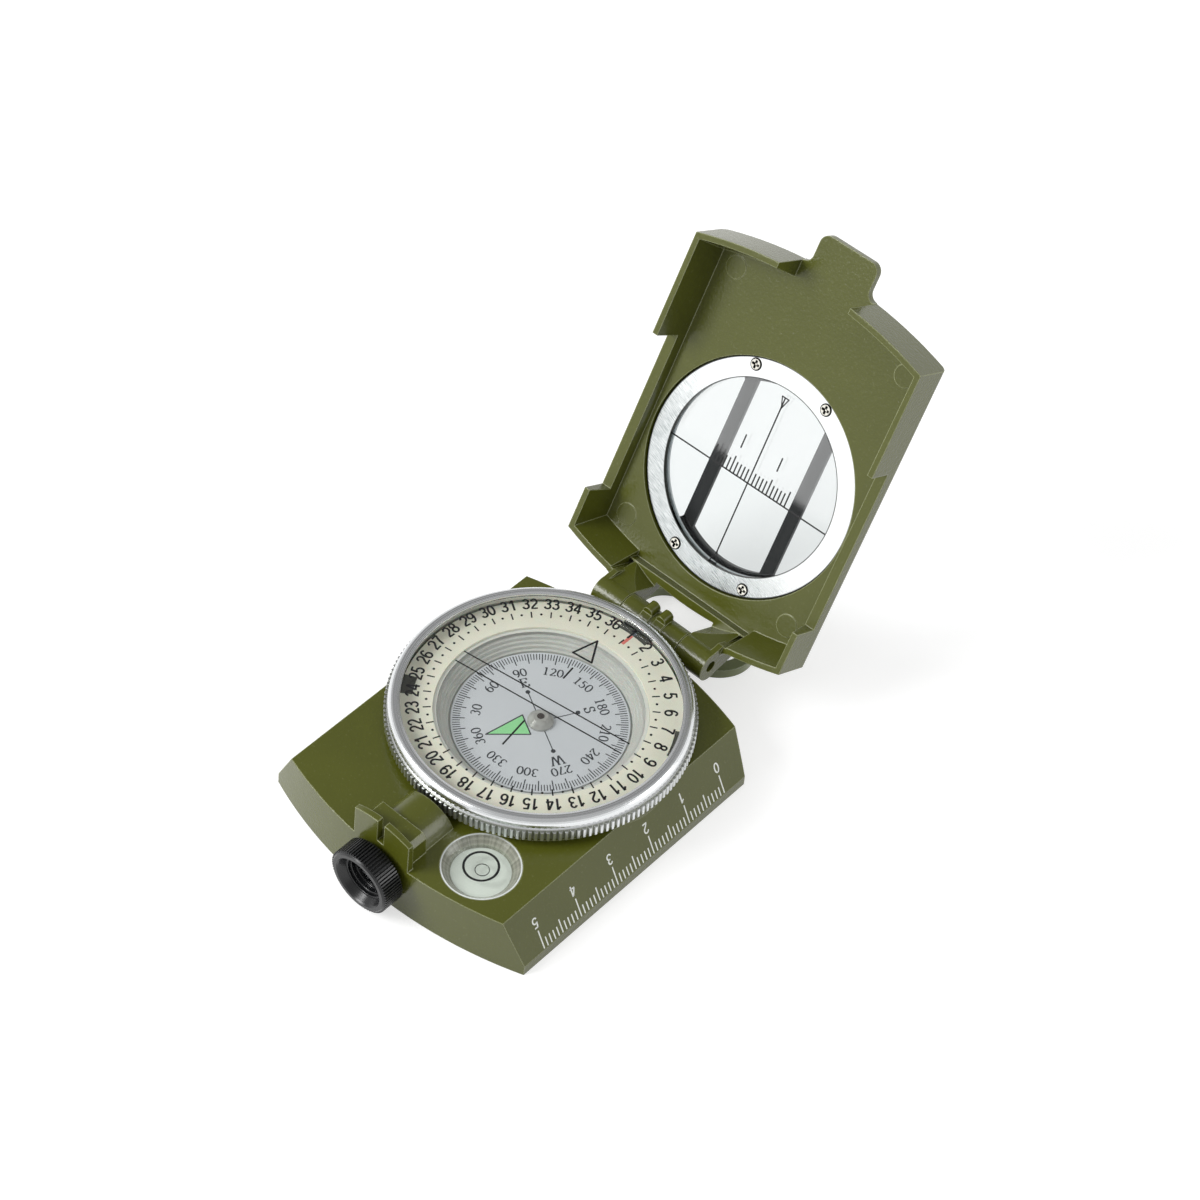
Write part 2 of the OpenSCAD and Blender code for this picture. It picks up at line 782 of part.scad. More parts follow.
// Outside of the lid, with rounded long edges
module lid_block() {
    depth = wing_rim - plate_out;
    corner = [for (a = [0 : 15 : 90]) outer_round * [1 - sin(a), 1 - cos(a)]];
    intersection() {
        translate([0, 0, plate_out]) linear_extrude(depth) lid_outline(0);
        along_y(0, lid_length + cut_margin) polygon(concat(
            [for (point = corner) [point[0] - lid_half_width, point[1] + plate_out]],
            [[-lid_half_width, wing_rim + cut_margin], [lid_half_width, wing_rim + cut_margin]],
            [for (i = [6 : -1 : 0]) [lid_half_width - corner[i][0], corner[i][1] + plate_out]]
        ));
    }
}

// Space inside the lid, narrower at the plate than at the rim
module lid_space() {
    depth = wing_rim - plate_in;
    rim_half = lid_half_width - lid_wall;
    rim_bow = case_bow_radius - lid_wall;
    intersection() {
        along_y(0, lid_length) polygon([
            [-rim_half + side_draft, plate_in],
            [rim_half - side_draft, plate_in],
            [rim_half, wing_rim],
            [rim_half, wing_rim + cut_margin],
            [-rim_half, wing_rim + cut_margin],
            [-rim_half, wing_rim],
        ]);
        for_both_ends(plate_in, depth, rim_bow - end_draft, rim_bow);
    }
}

// Common space of the two bowed ends, tapering from the plate to the rim
module for_both_ends(bottom, depth, low_radius, high_radius) {
    grow = (high_radius - low_radius) * cut_margin / depth;
    intersection() {
        translate([0, lid_length - case_bow_radius, bottom])
            cylinder(h = depth + cut_margin, r1 = low_radius, r2 = high_radius + grow, $fn = 360);
        translate([0, near_end + case_bow_radius, bottom])
            cylinder(h = depth + cut_margin, r1 = low_radius, r2 = high_radius + grow, $fn = 360);
    }
}

// Tab at the far end, with rounded corners and filleted roots
module lid_tab() {
    root_y = lid_length - pow(tab_half_width, 2) / (2 * case_bow_radius);
    translate([0, 0, plate_out]) linear_extrude(plate_thickness) {
        translate([-tab_half_width, root_y - tab_seat])
            square([2 * tab_half_width, tab_reach - tab_corner - root_y + tab_seat]);
        translate([-tab_half_width + tab_corner, root_y])
            square([2 * (tab_half_width - tab_corner), tab_reach - root_y]);
        for (side = [-1, 1]) {
            translate([side * (tab_half_width - tab_corner), tab_reach - tab_corner])
                circle(r = tab_corner);
            difference() {
                translate([side > 0 ? tab_half_width : -tab_half_width - tab_root, root_y - cut_margin])
                    square([tab_root, tab_root + cut_margin]);
                translate([side * (tab_half_width + tab_root), root_y + tab_root])
                    circle(r = tab_root);
            }
        }
    }
}

// Two outer knuckles, each with the web and the cheek that join it to the lid
module lid_arms() {
    cheek = 1.2;
    web_root = knuckle_radius - 0.12;
    fillet = 1.3;
    wall_y = near_end + pow(crescent_half, 2) / (2 * case_bow_radius);
    for (side = [0, 1]) mirror([side, 0, 0]) {
        from = middle_knuckle_half + knuckle_gap;
        rod_x(knuckle_radius, from, knuckle_end);
        along_x(from, knuckle_end - cheek / 2) polygon([
            [-web_root * cos(20), -web_root * sin(20)],
            [crescent_apex - 0.6, plate_out + outer_round],
            [crescent_apex + 0.2, plate_out + 0.1],
            [crescent_edge - 0.1, plate_out + 0.1],
            [crescent_edge - 0.1, low_rim - 0.4],
            [web_root * cos(15), web_root * sin(15)],
        ]);
        along_x(knuckle_end - cheek, knuckle_end) polygon([
            [-web_root * cos(20), -web_root * sin(20)],
            [wall_y, plate_out + outer_round],
            [wall_y + 1.1, plate_out + 0.3],
            [wall_y + 1.1, wing_rim],
            [web_root * cos(35), web_root * sin(35)],
        ]);
        translate([0, 0, plate_out + 0.3]) linear_extrude(wing_rim - plate_out - 0.3) difference() {
            translate([knuckle_end - cheek / 2, wall_y - fillet])
                square([fillet + cheek / 2, fillet + 1]);
            translate([knuckle_end + fillet, wall_y - fillet]) circle(r = fillet);
        }
    }
}

// Space swept by the bezel as the lid shuts, taken out of the lid
module bezel_swing_space() {
    translate([0, hinge_y, low_rim]) cylinder(
        h = low_rim_depth + cut_margin,
        r = bezel_clearance,
        $fn = 180
    );
}

// Straight lip of the lowered hinge end, bowed on its outside
module crescent_lip() {
    intersection() {
        translate([-crescent_half - lip_seat, 0, plate_out])
            cube([2 * (crescent_half + lip_seat), crescent_edge, low_rim - plate_out]);
        translate([0, crescent_apex + crescent_radius, plate_out])
            cylinder(h = low_rim - plate_out, r = crescent_radius, $fn = 360);
    }
}

module lid() {
    color("#5a6128") at_lid() difference() {
        union() {
            difference() {
                lid_block();
                lid_space();
                translate([-crescent_half, 0, plate_out - cut_margin])
                    cube([2 * crescent_half, crescent_edge - lip_seat, plate_thickness + 2 * cut_margin]);
                translate([-crescent_half, 0, plate_in])
                    cube([2 * crescent_half, crescent_edge + end_draft, plate_depth]);
                for (side = [-1, 1])
                    translate([
                        side > 0 ? lid_half_width - 3 : -lid_half_width - cut_margin,
                        cutaway_start,
                        low_rim,
                    ]) cube([3 + cut_margin, cutaway_end - cutaway_start, low_rim_depth]);
                translate([-far_gap_half, lid_length - 5, plate_in])
                    cube([2 * far_gap_half, 5 + cut_margin, plate_depth]);
            }
            crescent_lip();
            lid_tab();
            difference() {
                lid_arms();
                bezel_swing_space();
            }
            translate([0, window_y, window_collar_end])
                cylinder(h = plate_in - window_collar_end - 0.5, r = window_collar_radius, $fn = 180);
            for (side = [-1, 1]) for (y = [mark_near, mark_far])
                translate([side * mark_x, y, plate_in - cut_margin])
                    cylinder(h = mark_height + cut_margin, r = mark_radius);
        }
        translate([0, window_y, 0]) {
            translate([0, 0, glass_top]) cylinder(h = plate_depth, r = pocket_radius, $fn = 180);
            translate([0, 0, glass_bottom]) cylinder(h = plate_depth, r = glass_radius + fixed_fit, $fn = 180);
            translate([0, 0, window_collar_end - cut_margin]) cylinder(h = plate_depth, r = ledge_radius, $fn = 180);
            screw_places() translate([0, 0, glass_top - screw_length - 0.1])
                cylinder(h = screw_length + cut_margin, r = screw_shank + fixed_fit, $fn = 32);
        }
        rod_x(pin_radius + running_fit, -knuckle_end - cut_margin, knuckle_end + cut_margin);
    }
}

// Copies a piece to the four screws, from the middle of the window
module screw_places() {
    for (x = [-screw_x, screw_x]) for (y = [-screw_y, screw_y]) translate([x, y, 0]) children();
}

module at_window() {
    at_lid() translate([0, window_y, 0]) children();
}

module sight_glass() {
    color("#dbe7ea", 0.3) at_window() translate([0, 0, glass_bottom])
        cylinder(h = glass_thickness, r = glass_radius, $fn = 180);
}

module clamp_ring() {
    color("#cfd2d4") at_window() difference() {
        flat_ring(clamp_ring_radius, clamp_ring_opening, glass_top, clamp_ring_top);
        screw_places() {
            translate([0, 0, glass_top - cut_margin])
                cylinder(h = cut_margin * 3, r = screw_shank + 0.15, $fn = 32);
            translate([0, 0, clamp_ring_top - screw_head])
                cylinder(h = cut_margin, r = screw_head_radius + fixed_fit, $fn = 32);
        }
    }
}

module ring_screws() {
    slot_depth = 0.35;
    slot_half = 0.14;
    color("#b9bcbe") at_window() screw_places() difference() {
        union() {
            translate([0, 0, clamp_ring_top - screw_head])
                cylinder(h = screw_head + screw_proud, r = screw_head_radius, $fn = 32);
            translate([0, 0, glass_top - screw_length])
                cylinder(h = screw_length + 0.4, r = screw_shank, $fn = 32);
        }
        for (turn = [0, 90]) rotate([0, 0, turn])
            translate([-0.75, -slot_half, clamp_ring_top + screw_proud - slot_depth])
                cube([1.5, 2 * slot_half, cut_margin]);
    }
}

// Black frame behind the glass: an arc at each end of the window, joined by two legs
module rear_frame() {
    color("#17181a") at_window() {
        intersection() {
            flat_ring(frame_outer, frame_inner, frame_end, window_collar_end);
            translate([-frame_half, -frame_outer - cut_margin, frame_end])
                cube([2 * frame_half, 2 * (frame_outer + cut_margin), rear_frame_depth]);
        }
        intersection() {
            translate([0, 0, frame_end]) cylinder(h = leg_thickness, r = (frame_inner + frame_outer) / 2);
            for (side = [-1, 1])
                translate([side > 0 ? leg_inner : -leg_outer, -frame_outer, frame_end])
                    cube([leg_outer - leg_inner, 2 * frame_outer, leg_thickness]);
        }
    }
}

// Section of the thumb ring's band
module band_section() {
    square([thumb_band_width, thumb_band_thickness], center = true);
}

module thumb_ring() {
    color("#5f6636") translate([0, thumb_y, thumb_z]) rotate([-thumb_ring_droop, 0, 0]) {
        for (side = [-1, 1]) {
            rod_x(
                thumb_bar_radius,
                side > 0 ? 0.15 : -lug_half - 0.4,
                side > 0 ? lug_half + 0.4 : -0.15
            );
            translate([side > 0 ? lug_half + loose_gap : -thumb_bar_half, 0, 0])
                rotate([90, 0, 90]) linear_extrude(thumb_bar_half - lug_half - loose_gap) band_section();
            mirror([side > 0 ? 0 : 1, 0, 0]) translate([thumb_bar_half, thumb_side_radius, 0])
                rotate([0, 0, -90]) rotate_extrude(angle = 90 + thumb_turn)
                    translate([thumb_side_radius, 0]) band_section();
        }
        translate([0, thumb_far_centre, 0]) rotate([0, 0, thumb_turn])
            rotate_extrude(angle = 180 - 2 * thumb_turn, $fn = 180)
                translate([thumb_far_radius, 0]) band_section();
    }
}

base_housing();
bottom_cover();
hinge_pin();
luminous_ring();
ring_pads();
capsule_bowl();
capsule_window();
pivot_pin();
level_vial();
level_disc();
bezel_spring();
bezel();
dial_cover();
compass_card();
card_magnet();
pivot_cup();
pivot_jewel();
lens_tube();
eyepiece_lens();
focus_ring();
lid();
sight_glass();
clamp_ring();
ring_screws();
rear_frame();
thumb_ring();
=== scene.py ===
import bpy
import bmesh
import json
import math
from mathutils import Matrix, Vector


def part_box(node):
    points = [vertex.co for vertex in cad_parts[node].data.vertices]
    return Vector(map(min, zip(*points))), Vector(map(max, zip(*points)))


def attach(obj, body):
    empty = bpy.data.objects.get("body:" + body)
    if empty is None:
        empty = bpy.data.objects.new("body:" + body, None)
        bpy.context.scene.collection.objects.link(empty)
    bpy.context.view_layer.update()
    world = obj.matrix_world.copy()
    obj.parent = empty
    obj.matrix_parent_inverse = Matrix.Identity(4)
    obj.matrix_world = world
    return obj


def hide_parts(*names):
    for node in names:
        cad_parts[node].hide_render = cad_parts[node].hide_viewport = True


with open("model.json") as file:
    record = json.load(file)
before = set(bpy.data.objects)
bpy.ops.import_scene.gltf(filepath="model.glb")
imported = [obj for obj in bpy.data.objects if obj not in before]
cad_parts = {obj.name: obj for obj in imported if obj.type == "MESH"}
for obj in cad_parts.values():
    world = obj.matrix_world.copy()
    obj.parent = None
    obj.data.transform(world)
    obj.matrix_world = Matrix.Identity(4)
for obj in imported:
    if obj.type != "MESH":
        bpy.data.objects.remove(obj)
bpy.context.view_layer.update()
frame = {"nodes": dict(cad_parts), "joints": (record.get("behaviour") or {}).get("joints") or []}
nodes = frame["nodes"]
mm = 0.001  # pieces are built in millimetres and brought to metres when they are done
print("frame loaded,", len(nodes), "nodes")

# The open lid: its lean, how far up it the window is, and the inner faces of the clamp ring and the glass
lidFrame = {"angle": 61.16, "windowY": 32.4, "ringTop": -10.4, "glassTop": -11.2}
hinge = next(Vector(joint["pos_m"]) / mm for joint in frame["joints"] if joint["name"] == "lid_hinge")
atLid = Matrix.Translation(hinge) @ Matrix.Rotation(math.radians(lidFrame["angle"]), 4, "X")
windowPlace = atLid @ Matrix.Translation((0, lidFrame["windowY"], 0))
# Textures that follow the lid are laid out from the middle of the clamp ring
lidPlace = {"Location": windowPlace @ Vector((0, 0, lidFrame["ringTop"])) * mm,
            "Rotation": (math.radians(lidFrame["angle"]), 0, 0)}
screwPlace = (8.6, 20.16, 0)  # each ring screw from that middle, to both sides and both ways
levelPlace = {"x": 15.2, "y": -32.2}


# sRGB hex to the linear colour that the shaders want
def linearColour(hexText):
    parts = [int(hexText[i:i + 2], 16) / 255 for i in (0, 2, 4)]
    return tuple(p / 12.92 if p <= 0.04045 else ((p + 0.055) / 1.055) ** 2.4 for p in parts) + (1.0,)


# Adds one shader node: values and links go to its sockets, the rest to its own settings.
# A link starts at the socket given, or at the first output in use of the node given.
def addNode(tree, kind, values=None, links=None, **settings):
    node = tree.nodes.new("ShaderNode" + kind)
    for name, value in settings.items():
        setattr(node, name, value)
    for name, value in (values or {}).items():
        node.inputs[name].default_value = value
    for name, source in (links or {}).items():
        if isinstance(source, bpy.types.Node):
            source = next(output for output in source.outputs if not output.is_unavailable)
        tree.links.new(source, node.inputs[name])
    return node


def newMaterial(name):
    material = bpy.data.materials.new(name)
    material.use_nodes = True
    material.node_tree.nodes.clear()
    return material, material.node_tree


def finishMaterial(tree, shader):
    addNode(tree, "OutputMaterial", links={"Surface": shader})


# Where a texture lies, in millimetres from the frame's origin or from the middle of the clamp ring
def texturePoint(tree, onLid=False):
    point = addNode(tree, "TexCoord").outputs["Object"]
    if onLid:
        point = addNode(tree, "Mapping", lidPlace, {"Vector": point}, vector_type="TEXTURE")
    return addNode(tree, "Mapping", {"Scale": (1 / mm, 1 / mm, 1 / mm)}, {"Vector": point})


# A texture's point laid flat, and its distance from the upright axis
def flatAndRadius(tree, point):
    flat = addNode(tree, "Mapping", {"Scale": (1, 1, 0)}, {"Vector": point})
    return flat, addNode(tree, "VectorMath", {}, {0: flat}, operation="LENGTH")


# Two near tones in soft clouds
def cloudedTone(tree, look, point):
    clouds = addNode(tree, "TexNoise", {"Scale": 1 / look["cloudSize"], "Detail": 3}, {"Vector": point})
    return addNode(tree, "Mix", {"A": linearColour(look["colour"]), "B": linearColour(look["shade"])},
                   {"Factor": clouds}, data_type="RGBA")


# Gloss and relief that follow the grain, edges rounded to the eye, and the shader with its constants
def finishSurface(tree, look, colour, grain, rounded=None, duller=None):
    smoother, rougher = look["spread"]
    rough = addNode(tree, "MapRange", {"To Min": look["roughness"] - smoother,
                                       "To Max": look["roughness"] + rougher}, {"Value": grain})
    if duller is not None:
        rough = addNode(tree, "Math", {}, {0: rough, 1: duller}, operation="ADD")
    if rounded is None:
        rounded = addNode(tree, "Bevel", {"Radius": look["edge"] * mm}, samples=4)
    relief = addNode(tree, "Bump", {"Strength": look["bump"], "Distance": look["relief"] * mm},
                     {"Height": grain, "Normal": rounded})
    finishMaterial(tree, addNode(tree, "BsdfPrincipled", look["shader"],
                                 {"Base Color": colour, "Roughness": rough, "Normal": relief}))


# Sprayed enamel on die-cast zinc: semi-gloss, faint orange peel, a little lighter on edges, partly where it
# thins and partly as a painted highlight
def makeSprayedEnamel(name, look):
    material, tree = newMaterial(name)
    inMm = texturePoint(tree)
    grain = addNode(tree, "TexNoise", {"Scale": 1 / look["grainSize"], "Detail": 2}, {"Vector": inMm})
    light = linearColour(look["light"])
    faint, full = look["speckGrain"]
    speck = addNode(tree, "MapRange", {"From Min": faint, "From Max": full, "To Max": look["speck"]},
                    {"Value": grain})
    paint = addNode(tree, "Mix", {"B": light}, {"Factor": speck, "A": cloudedTone(tree, look, inMm)},
                    data_type="RGBA")
    # edges are where the rounded normal leaves the true one; they are lightened for thinner paint and as a
    # painted highlight
    rounded = addNode(tree, "Bevel", {"Radius": look["edge"] * mm}, samples=4)
    trueNormal = addNode(tree, "NewGeometry").outputs["Normal"]
    likeness = addNode(tree, "VectorMath", {}, {0: rounded, 1: trueNormal}, operation="DOT_PRODUCT")
    faint, full = look["edgeLikeness"]
    edgeWearAndHighlight = addNode(tree, "MapRange", {"From Min": faint, "From Max": full, "To Max": look["wearAndPaintedLight"]},
                     {"Value": likeness})
    paint = addNode(tree, "Mix", {"B": light}, {"Factor": edgeWearAndHighlight, "A": paint}, data_type="RGBA")
    if "seat" in look:  # painted light on the seat that the window's glass lies in: pale, like light seen through the glass's edge
        inLid = texturePoint(tree, onLid=True)
        deep = addNode(tree, "SeparateXYZ", {}, {"Vector": inLid}).outputs["Z"]
        onSeat = addNode(tree, "Math", {1: look["seatRadius"]}, {0: flatAndRadius(tree, inLid)[1]},
                         operation="LESS_THAN")
        for side, operation in (("seatTop", "LESS_THAN"), ("seatFoot", "GREATER_THAN")):
            within = addNode(tree, "Math", {1: look[side]}, {0: deep}, operation=operation)
            onSeat = addNode(tree, "Math", {}, {0: onSeat, 1: within}, operation="MULTIPLY")
        paint = addNode(tree, "Mix", {"B": linearColour(look["seat"])}, {"Factor": onSeat, "A": paint},
                        data_type="RGBA")
    finishSurface(tree, look, paint, grain, rounded=rounded)
    return material


oliveLook = {"colour": "53571a", "shade": "4c5016", "light": "c3c79a", "cloudSize": 9.0, "grainSize": 0.55,
             "speck": 0.06, "speckGrain": (0.62, 0.8), "edge": 0.3, "wearAndPaintedLight": 0.6, "edgeLikeness": (0.995, 0.9),
             "roughness": 0.2, "spread": (0.04, 0.05), "bump": 1.0, "relief": 0.035, "shader": {"IOR": 1.5}}
# The lid's paint, with painted light on the window's seat
lidLook = dict(oliveLook, grainSize=0.6, relief=0.055, roughness=0.22, seat="dfe6e9", seatRadius=20.45,
               seatTop=-0.75, seatFoot=-2.37)
coverLook = dict(oliveLook, colour="4e5220", shade="464a1b", roughness=0.42, bump=0.6)
# The thumb ring's paint: the olive enamel made lighter and greyer as a painted sheen
loopSheenLook = dict(oliveLook, colour="6a7348", shade="626a40", light="b8bfa4", wearAndPaintedLight=0.5)
olivePaint = makeSprayedEnamel("oliveEnamel", oliveLook)
lidPaint = makeSprayedEnamel("lidEnamel", lidLook)
coverPaint = makeSprayedEnamel("coverEnamel", coverLook)
loopSheenPaint = makeSprayedEnamel("thumbRingEnamelSheen", loopSheenLook)
print("enamel made")


# Aluminium turned on a lathe and polished: bright, with faint rings round the dial axis
def makeTurnedAluminium():
    look = {"colour": "dfe1e2", "grooveShade": "aeb0a9", "ringWidth": 0.2, "roughness": 0.2,
            "spread": (0.09, 0.18), "edge": 0.08, "bump": 0.55, "relief": 0.01, "knurlFoot": 28.7,
            "knurlTip": 29.34, "knurlTop": 16.35, "grooveDepth": 0.24, "knurlRoughness": 0.1, "fade": 0.2,
            "shader": {"Metallic": 1.0}}
    material, tree = newMaterial("turnedAluminium")
    inMm = texturePoint(tree)
    radius = flatAndRadius(tree, inMm)[1]
    rings = addNode(tree, "TexNoise", {"Scale": 1 / look["ringWidth"], "Detail": 3}, {"W": radius},
                    noise_dimensions="1D")
    duller = addNode(tree, "MapRange", {"From Min": look["knurlFoot"], "To Max": look["knurlRoughness"],
                                        "From Max": look["knurlFoot"] + look["fade"]}, {"Value": radius})
    # painted shade in the knurl's grooves, on the outer side only
    knurlShade = addNode(tree, "MapRange", {"From Min": look["knurlTip"],
                                       "From Max": look["knurlTip"] - look["grooveDepth"]}, {"Value": radius})
    height = addNode(tree, "SeparateXYZ", {}, {"Vector": inMm}).outputs["Z"]
    onKnurl = ((height, "LESS_THAN", look["knurlTop"]),
               (radius, "GREATER_THAN", look["knurlFoot"] + look["fade"] / 2))
    for measure, operation, limit in onKnurl:
        within = addNode(tree, "Math", {1: limit}, {0: measure}, operation=operation)
        knurlShade = addNode(tree, "Math", {}, {0: knurlShade, 1: within}, operation="MULTIPLY")
    colour = addNode(tree, "Mix", {"A": linearColour(look["colour"]), "B": linearColour(look["grooveShade"])},
                     {"Factor": knurlShade}, data_type="RGBA")
    finishSurface(tree, look, colour, rings, duller=duller)
    return material


# Nickelled brass sheet, brushed slantwise: short streaks, painted shade darker towards the hinge's left,
# painted shadow lines in the gaps.
# Each shadow line has the distance where it starts and the one where it is darkest.
def makeBrushedRing():
    look = {"bright": "f3f5f5", "wornAndShaded": "b2b8b8", "line": "1a1d18", "slant": 20, "streakLength": 2.6,
            "streakWidth": 0.13, "streakTones": (0.38, 0.62), "plainWear": 0.4, "shadeWay": (0.64, 0.77, 0),
            "shadeFrom": -14.0, "shadeTo": 6.0, "leastShade": 0.04, "outerShadowLine": (23.08, 23.3),
            "innerShadowLine": (19.56, 19.38), "screwShadowLine": (1.35, 1.25), "roughness": 0.24, "spread": (0.07, 0.14),
            "edge": 0.08, "bump": 0.5, "relief": 0.01, "shader": {"Metallic": 1.0}}
    material, tree = newMaterial("brushedNickel")
    flat, radius = flatAndRadius(tree, texturePoint(tree, onLid=True))
    slanted = addNode(tree, "Mapping", {"Rotation": (0, 0, math.radians(look["slant"]))}, {"Vector": flat})
    streaked = addNode(tree, "Mapping", {"Scale": (1 / look["streakLength"], 1 / look["streakWidth"], 0)},
                       {"Vector": slanted})
    streaks = addNode(tree, "TexNoise", {"Scale": 1.0, "Detail": 2, "Roughness": 0.6}, {"Vector": streaked})
    dark, bright = look["streakTones"]
    marks = addNode(tree, "MapRange", {"From Min": dark, "From Max": bright, "To Min": 1.0,
                                       "To Max": look["plainWear"]}, {"Value": streaks})
    # painted shade: the ring darkens towards the hinge's left
    along = addNode(tree, "VectorMath", {1: look["shadeWay"]}, {0: flat}, operation="DOT_PRODUCT")
    paintedShade = addNode(tree, "MapRange", {"From Min": look["shadeFrom"], "From Max": look["shadeTo"],
                                          "To Min": 1.0, "To Max": look["leastShade"]},
                       {"Value": along}, interpolation_type="SMOOTHSTEP")
    wearAndPaintedLight = addNode(tree, "Math", {}, {0: marks, 1: paintedShade}, operation="MULTIPLY")
    colour = addNode(tree, "Mix", {"A": linearColour(look["bright"]), "B": linearColour(look["wornAndShaded"])},
                     {"Factor": wearAndPaintedLight}, data_type="RGBA")
    folded = addNode(tree, "VectorMath", {}, {0: flat}, operation="ABSOLUTE")
    toScrew = addNode(tree, "VectorMath", {1: screwPlace}, {0: folded}, operation="DISTANCE")
    # painted shadow lines in the gaps at the ring's outer and inner edges and round each screw
    for distance, line in ((radius, "outerShadowLine"), (radius, "innerShadowLine"), (toScrew, "screwShadowLine")):
        start, darkest = look[line]
        inShadowLine = addNode(tree, "MapRange", {"From Min": start, "From Max": darkest}, {"Value": distance})
        colour = addNode(tree, "Mix", {"B": linearColour(look["line"])}, {"Factor": inShadowLine, "A": colour},
                         data_type="RGBA")
    finishSurface(tree, look, colour, streaks)
    return material


# Zinc-plated steel screw heads: bright on top, with painted shade in the cross recess and a painted shadow
# round the side.
# Each limit has the distance where the painted shade starts and the one where it is full.
def makeScrewHeads():
    look = {"steel": "e4e2d8", "recessShade": "120f0b", "arm": (0.3, 0.22), "armEnd": (0.91, 0.81),
            "middle": (0.16, 0.26), "rim": (0.98, 1.06), "grainSize": 1 / 3, "roughness": 0.16,
            "spread": (0.05, 0.1), "edge": 0.15, "bump": 0.0, "relief": 0.01, "shader": {"Metallic": 1.0}}
    material, tree = newMaterial("zincScrewHeads")
    inMm = texturePoint(tree, onLid=True)
    folded = addNode(tree, "VectorMath", {}, {0: flatAndRadius(tree, inMm)[0]}, operation="ABSOLUTE")
    fromScrew = addNode(tree, "VectorMath", {1: screwPlace}, {0: folded}, operation="SUBTRACT")
    fromScrew = addNode(tree, "VectorMath", {}, {0: fromScrew}, operation="ABSOLUTE")
    radius = addNode(tree, "VectorMath", {}, {0: fromScrew}, operation="LENGTH")
    sides = addNode(tree, "SeparateXYZ", {}, {"Vector": fromScrew})
    toArm = addNode(tree, "Math", {}, {0: sides.outputs["X"], 1: sides.outputs["Y"]}, operation="MINIMUM")
    limits = {}
    for name, distance in (("arm", toArm), ("armEnd", radius), ("middle", radius), ("rim", radius)):
        start, full = look[name]
        limits[name] = addNode(tree, "MapRange", {"From Min": start, "From Max": full}, {"Value": distance})
    screwShade = addNode(tree, "Math", {}, {0: limits["arm"], 1: limits["armEnd"]}, operation="MULTIPLY")
    screwShade = addNode(tree, "Math", {}, {0: screwShade, 1: limits["middle"]}, operation="MULTIPLY")
    screwShade = addNode(tree, "Math", {}, {0: screwShade, 1: limits["rim"]}, operation="MAXIMUM")
    colour = addNode(tree, "Mix", {"A": linearColour(look["steel"]), "B": linearColour(look["recessShade"])},
                     {"Factor": screwShade}, data_type="RGBA")
    grain = addNode(tree, "TexNoise", {"Scale": 1 / look["grainSize"], "Detail": 2}, {"Vector": inMm})
    finishSurface(tree, look, colour, grain)
    return material


# A moulded, printed or ground surface: two near tones, a fine grain in the gloss and the relief
def makeMoulded(name, look):
    material, tree = newMaterial(name)
    inMm = texturePoint(tree)
    grain = addNode(tree, "TexNoise", {"Scale": 1 / look["grainSize"], "Detail": 2}, {"Vector": inMm})
    finishSurface(tree, look, cloudedTone(tree, look, inMm), grain)
    return material


# Looks of the moulded finishes, as far as they differ from this one
plainLook = {"cloudSize": 4.0, "grainSize": 0.2, "edge": 0.06, "bump": 0.2, "relief": 0.01,
             "spread": (0.05, 0.05), "shader": {"IOR": 1.5}}
mouldedLooks = {
    # Zinc-plated and ground steel of the pivot: bright but not mirror-like
    "zincPlatedSteel": {"colour": "b9b9b2", "shade": "8f908a", "roughness": 0.22,
                        "shader": {"Metallic": 1.0}},
    # Blackened pin end, with paint rubbed into its hole
    "paintedPinSteel": {"colour": "3b3f22", "shade": "2c2f1a", "roughness": 0.45},
    # Luminous pigment moulded in a cream resin: matt, a little light goes in
    "luminousResin": {"colour": "ebebdd", "shade": "e3e3d2", "cloudSize": 7.0, "roughness": 0.5, "bump": 0.1,
                      "shader": {"IOR": 1.5, "Subsurface Weight": 0.15, "Subsurface Scale": 0.4 * mm}},
    # Dark moulded rubber, matt
    "padRubber": {"colour": "45483f", "shade": "373a33", "roughness": 0.55},
    # Pale grey styrene of the capsule, from a polished mould
    "capsuleStyrene": {"colour": "dcdfda", "shade": "cfd2cd", "roughness": 0.14, "bump": 0.05,
                       "shader": {"IOR": 1.5, "Subsurface Weight": 0.1, "Subsurface Scale": 0.4 * mm}},
    # Printed plastic sheet of the card: matt pale blue-grey
    "cardSheet": {"colour": "dde2e8", "shade": "d7dde4", "cloudSize": 12.0, "roughness": 0.5, "bump": 0.05},
    # White acetal moulded under the level's liquid
    "whiteAcetal": {"colour": "f0f2ee", "shade": "e8ebe7", "roughness": 0.4, "bump": 0.05},
    # Black ABS with a satin moulded skin
    "blackAbs": {"colour": "121315", "shade": "0d0e0f", "roughness": 0.27, "bump": 0.3, "edge": 0.05},
    # The same plastic in the deep frame behind the glass, duller
    "frameAbs": {"colour": "0c0e10", "shade": "08090b", "roughness": 0.3, "bump": 0.3, "edge": 0.12,
                 "shader": {"IOR": 1.5, "Specular IOR Level": 0.3}},
    # Sintered magnet, dark and matt
    "sinteredMagnet": {"colour": "4a4c50", "shade": "3a3c40", "roughness": 0.5, "shader": {"Metallic": 0.6}},
    # Synthetic ruby bearing, ground and polished, dark in its cup
    "bearingJewel": {"colour": "4a4441", "shade": "38322f", "roughness": 0.12},
    # Milky acrylic of the pivot cup, moulded thin enough to show what it holds
    "cupAcrylic": {"colour": "eef0ee", "shade": "b4b5ae", "cloudSize": 0.9, "roughness": 0.08,
                   "shader": {"IOR": 1.5, "Alpha": 0.66}},
    # Painted shade of the liquid's dark edge round the bubble, where it bends the light away; glossy
    "bubbleShade": {"colour": "3f4441", "shade": "6d726d", "roughness": 0.15, "cloudSize": 0.9},
}
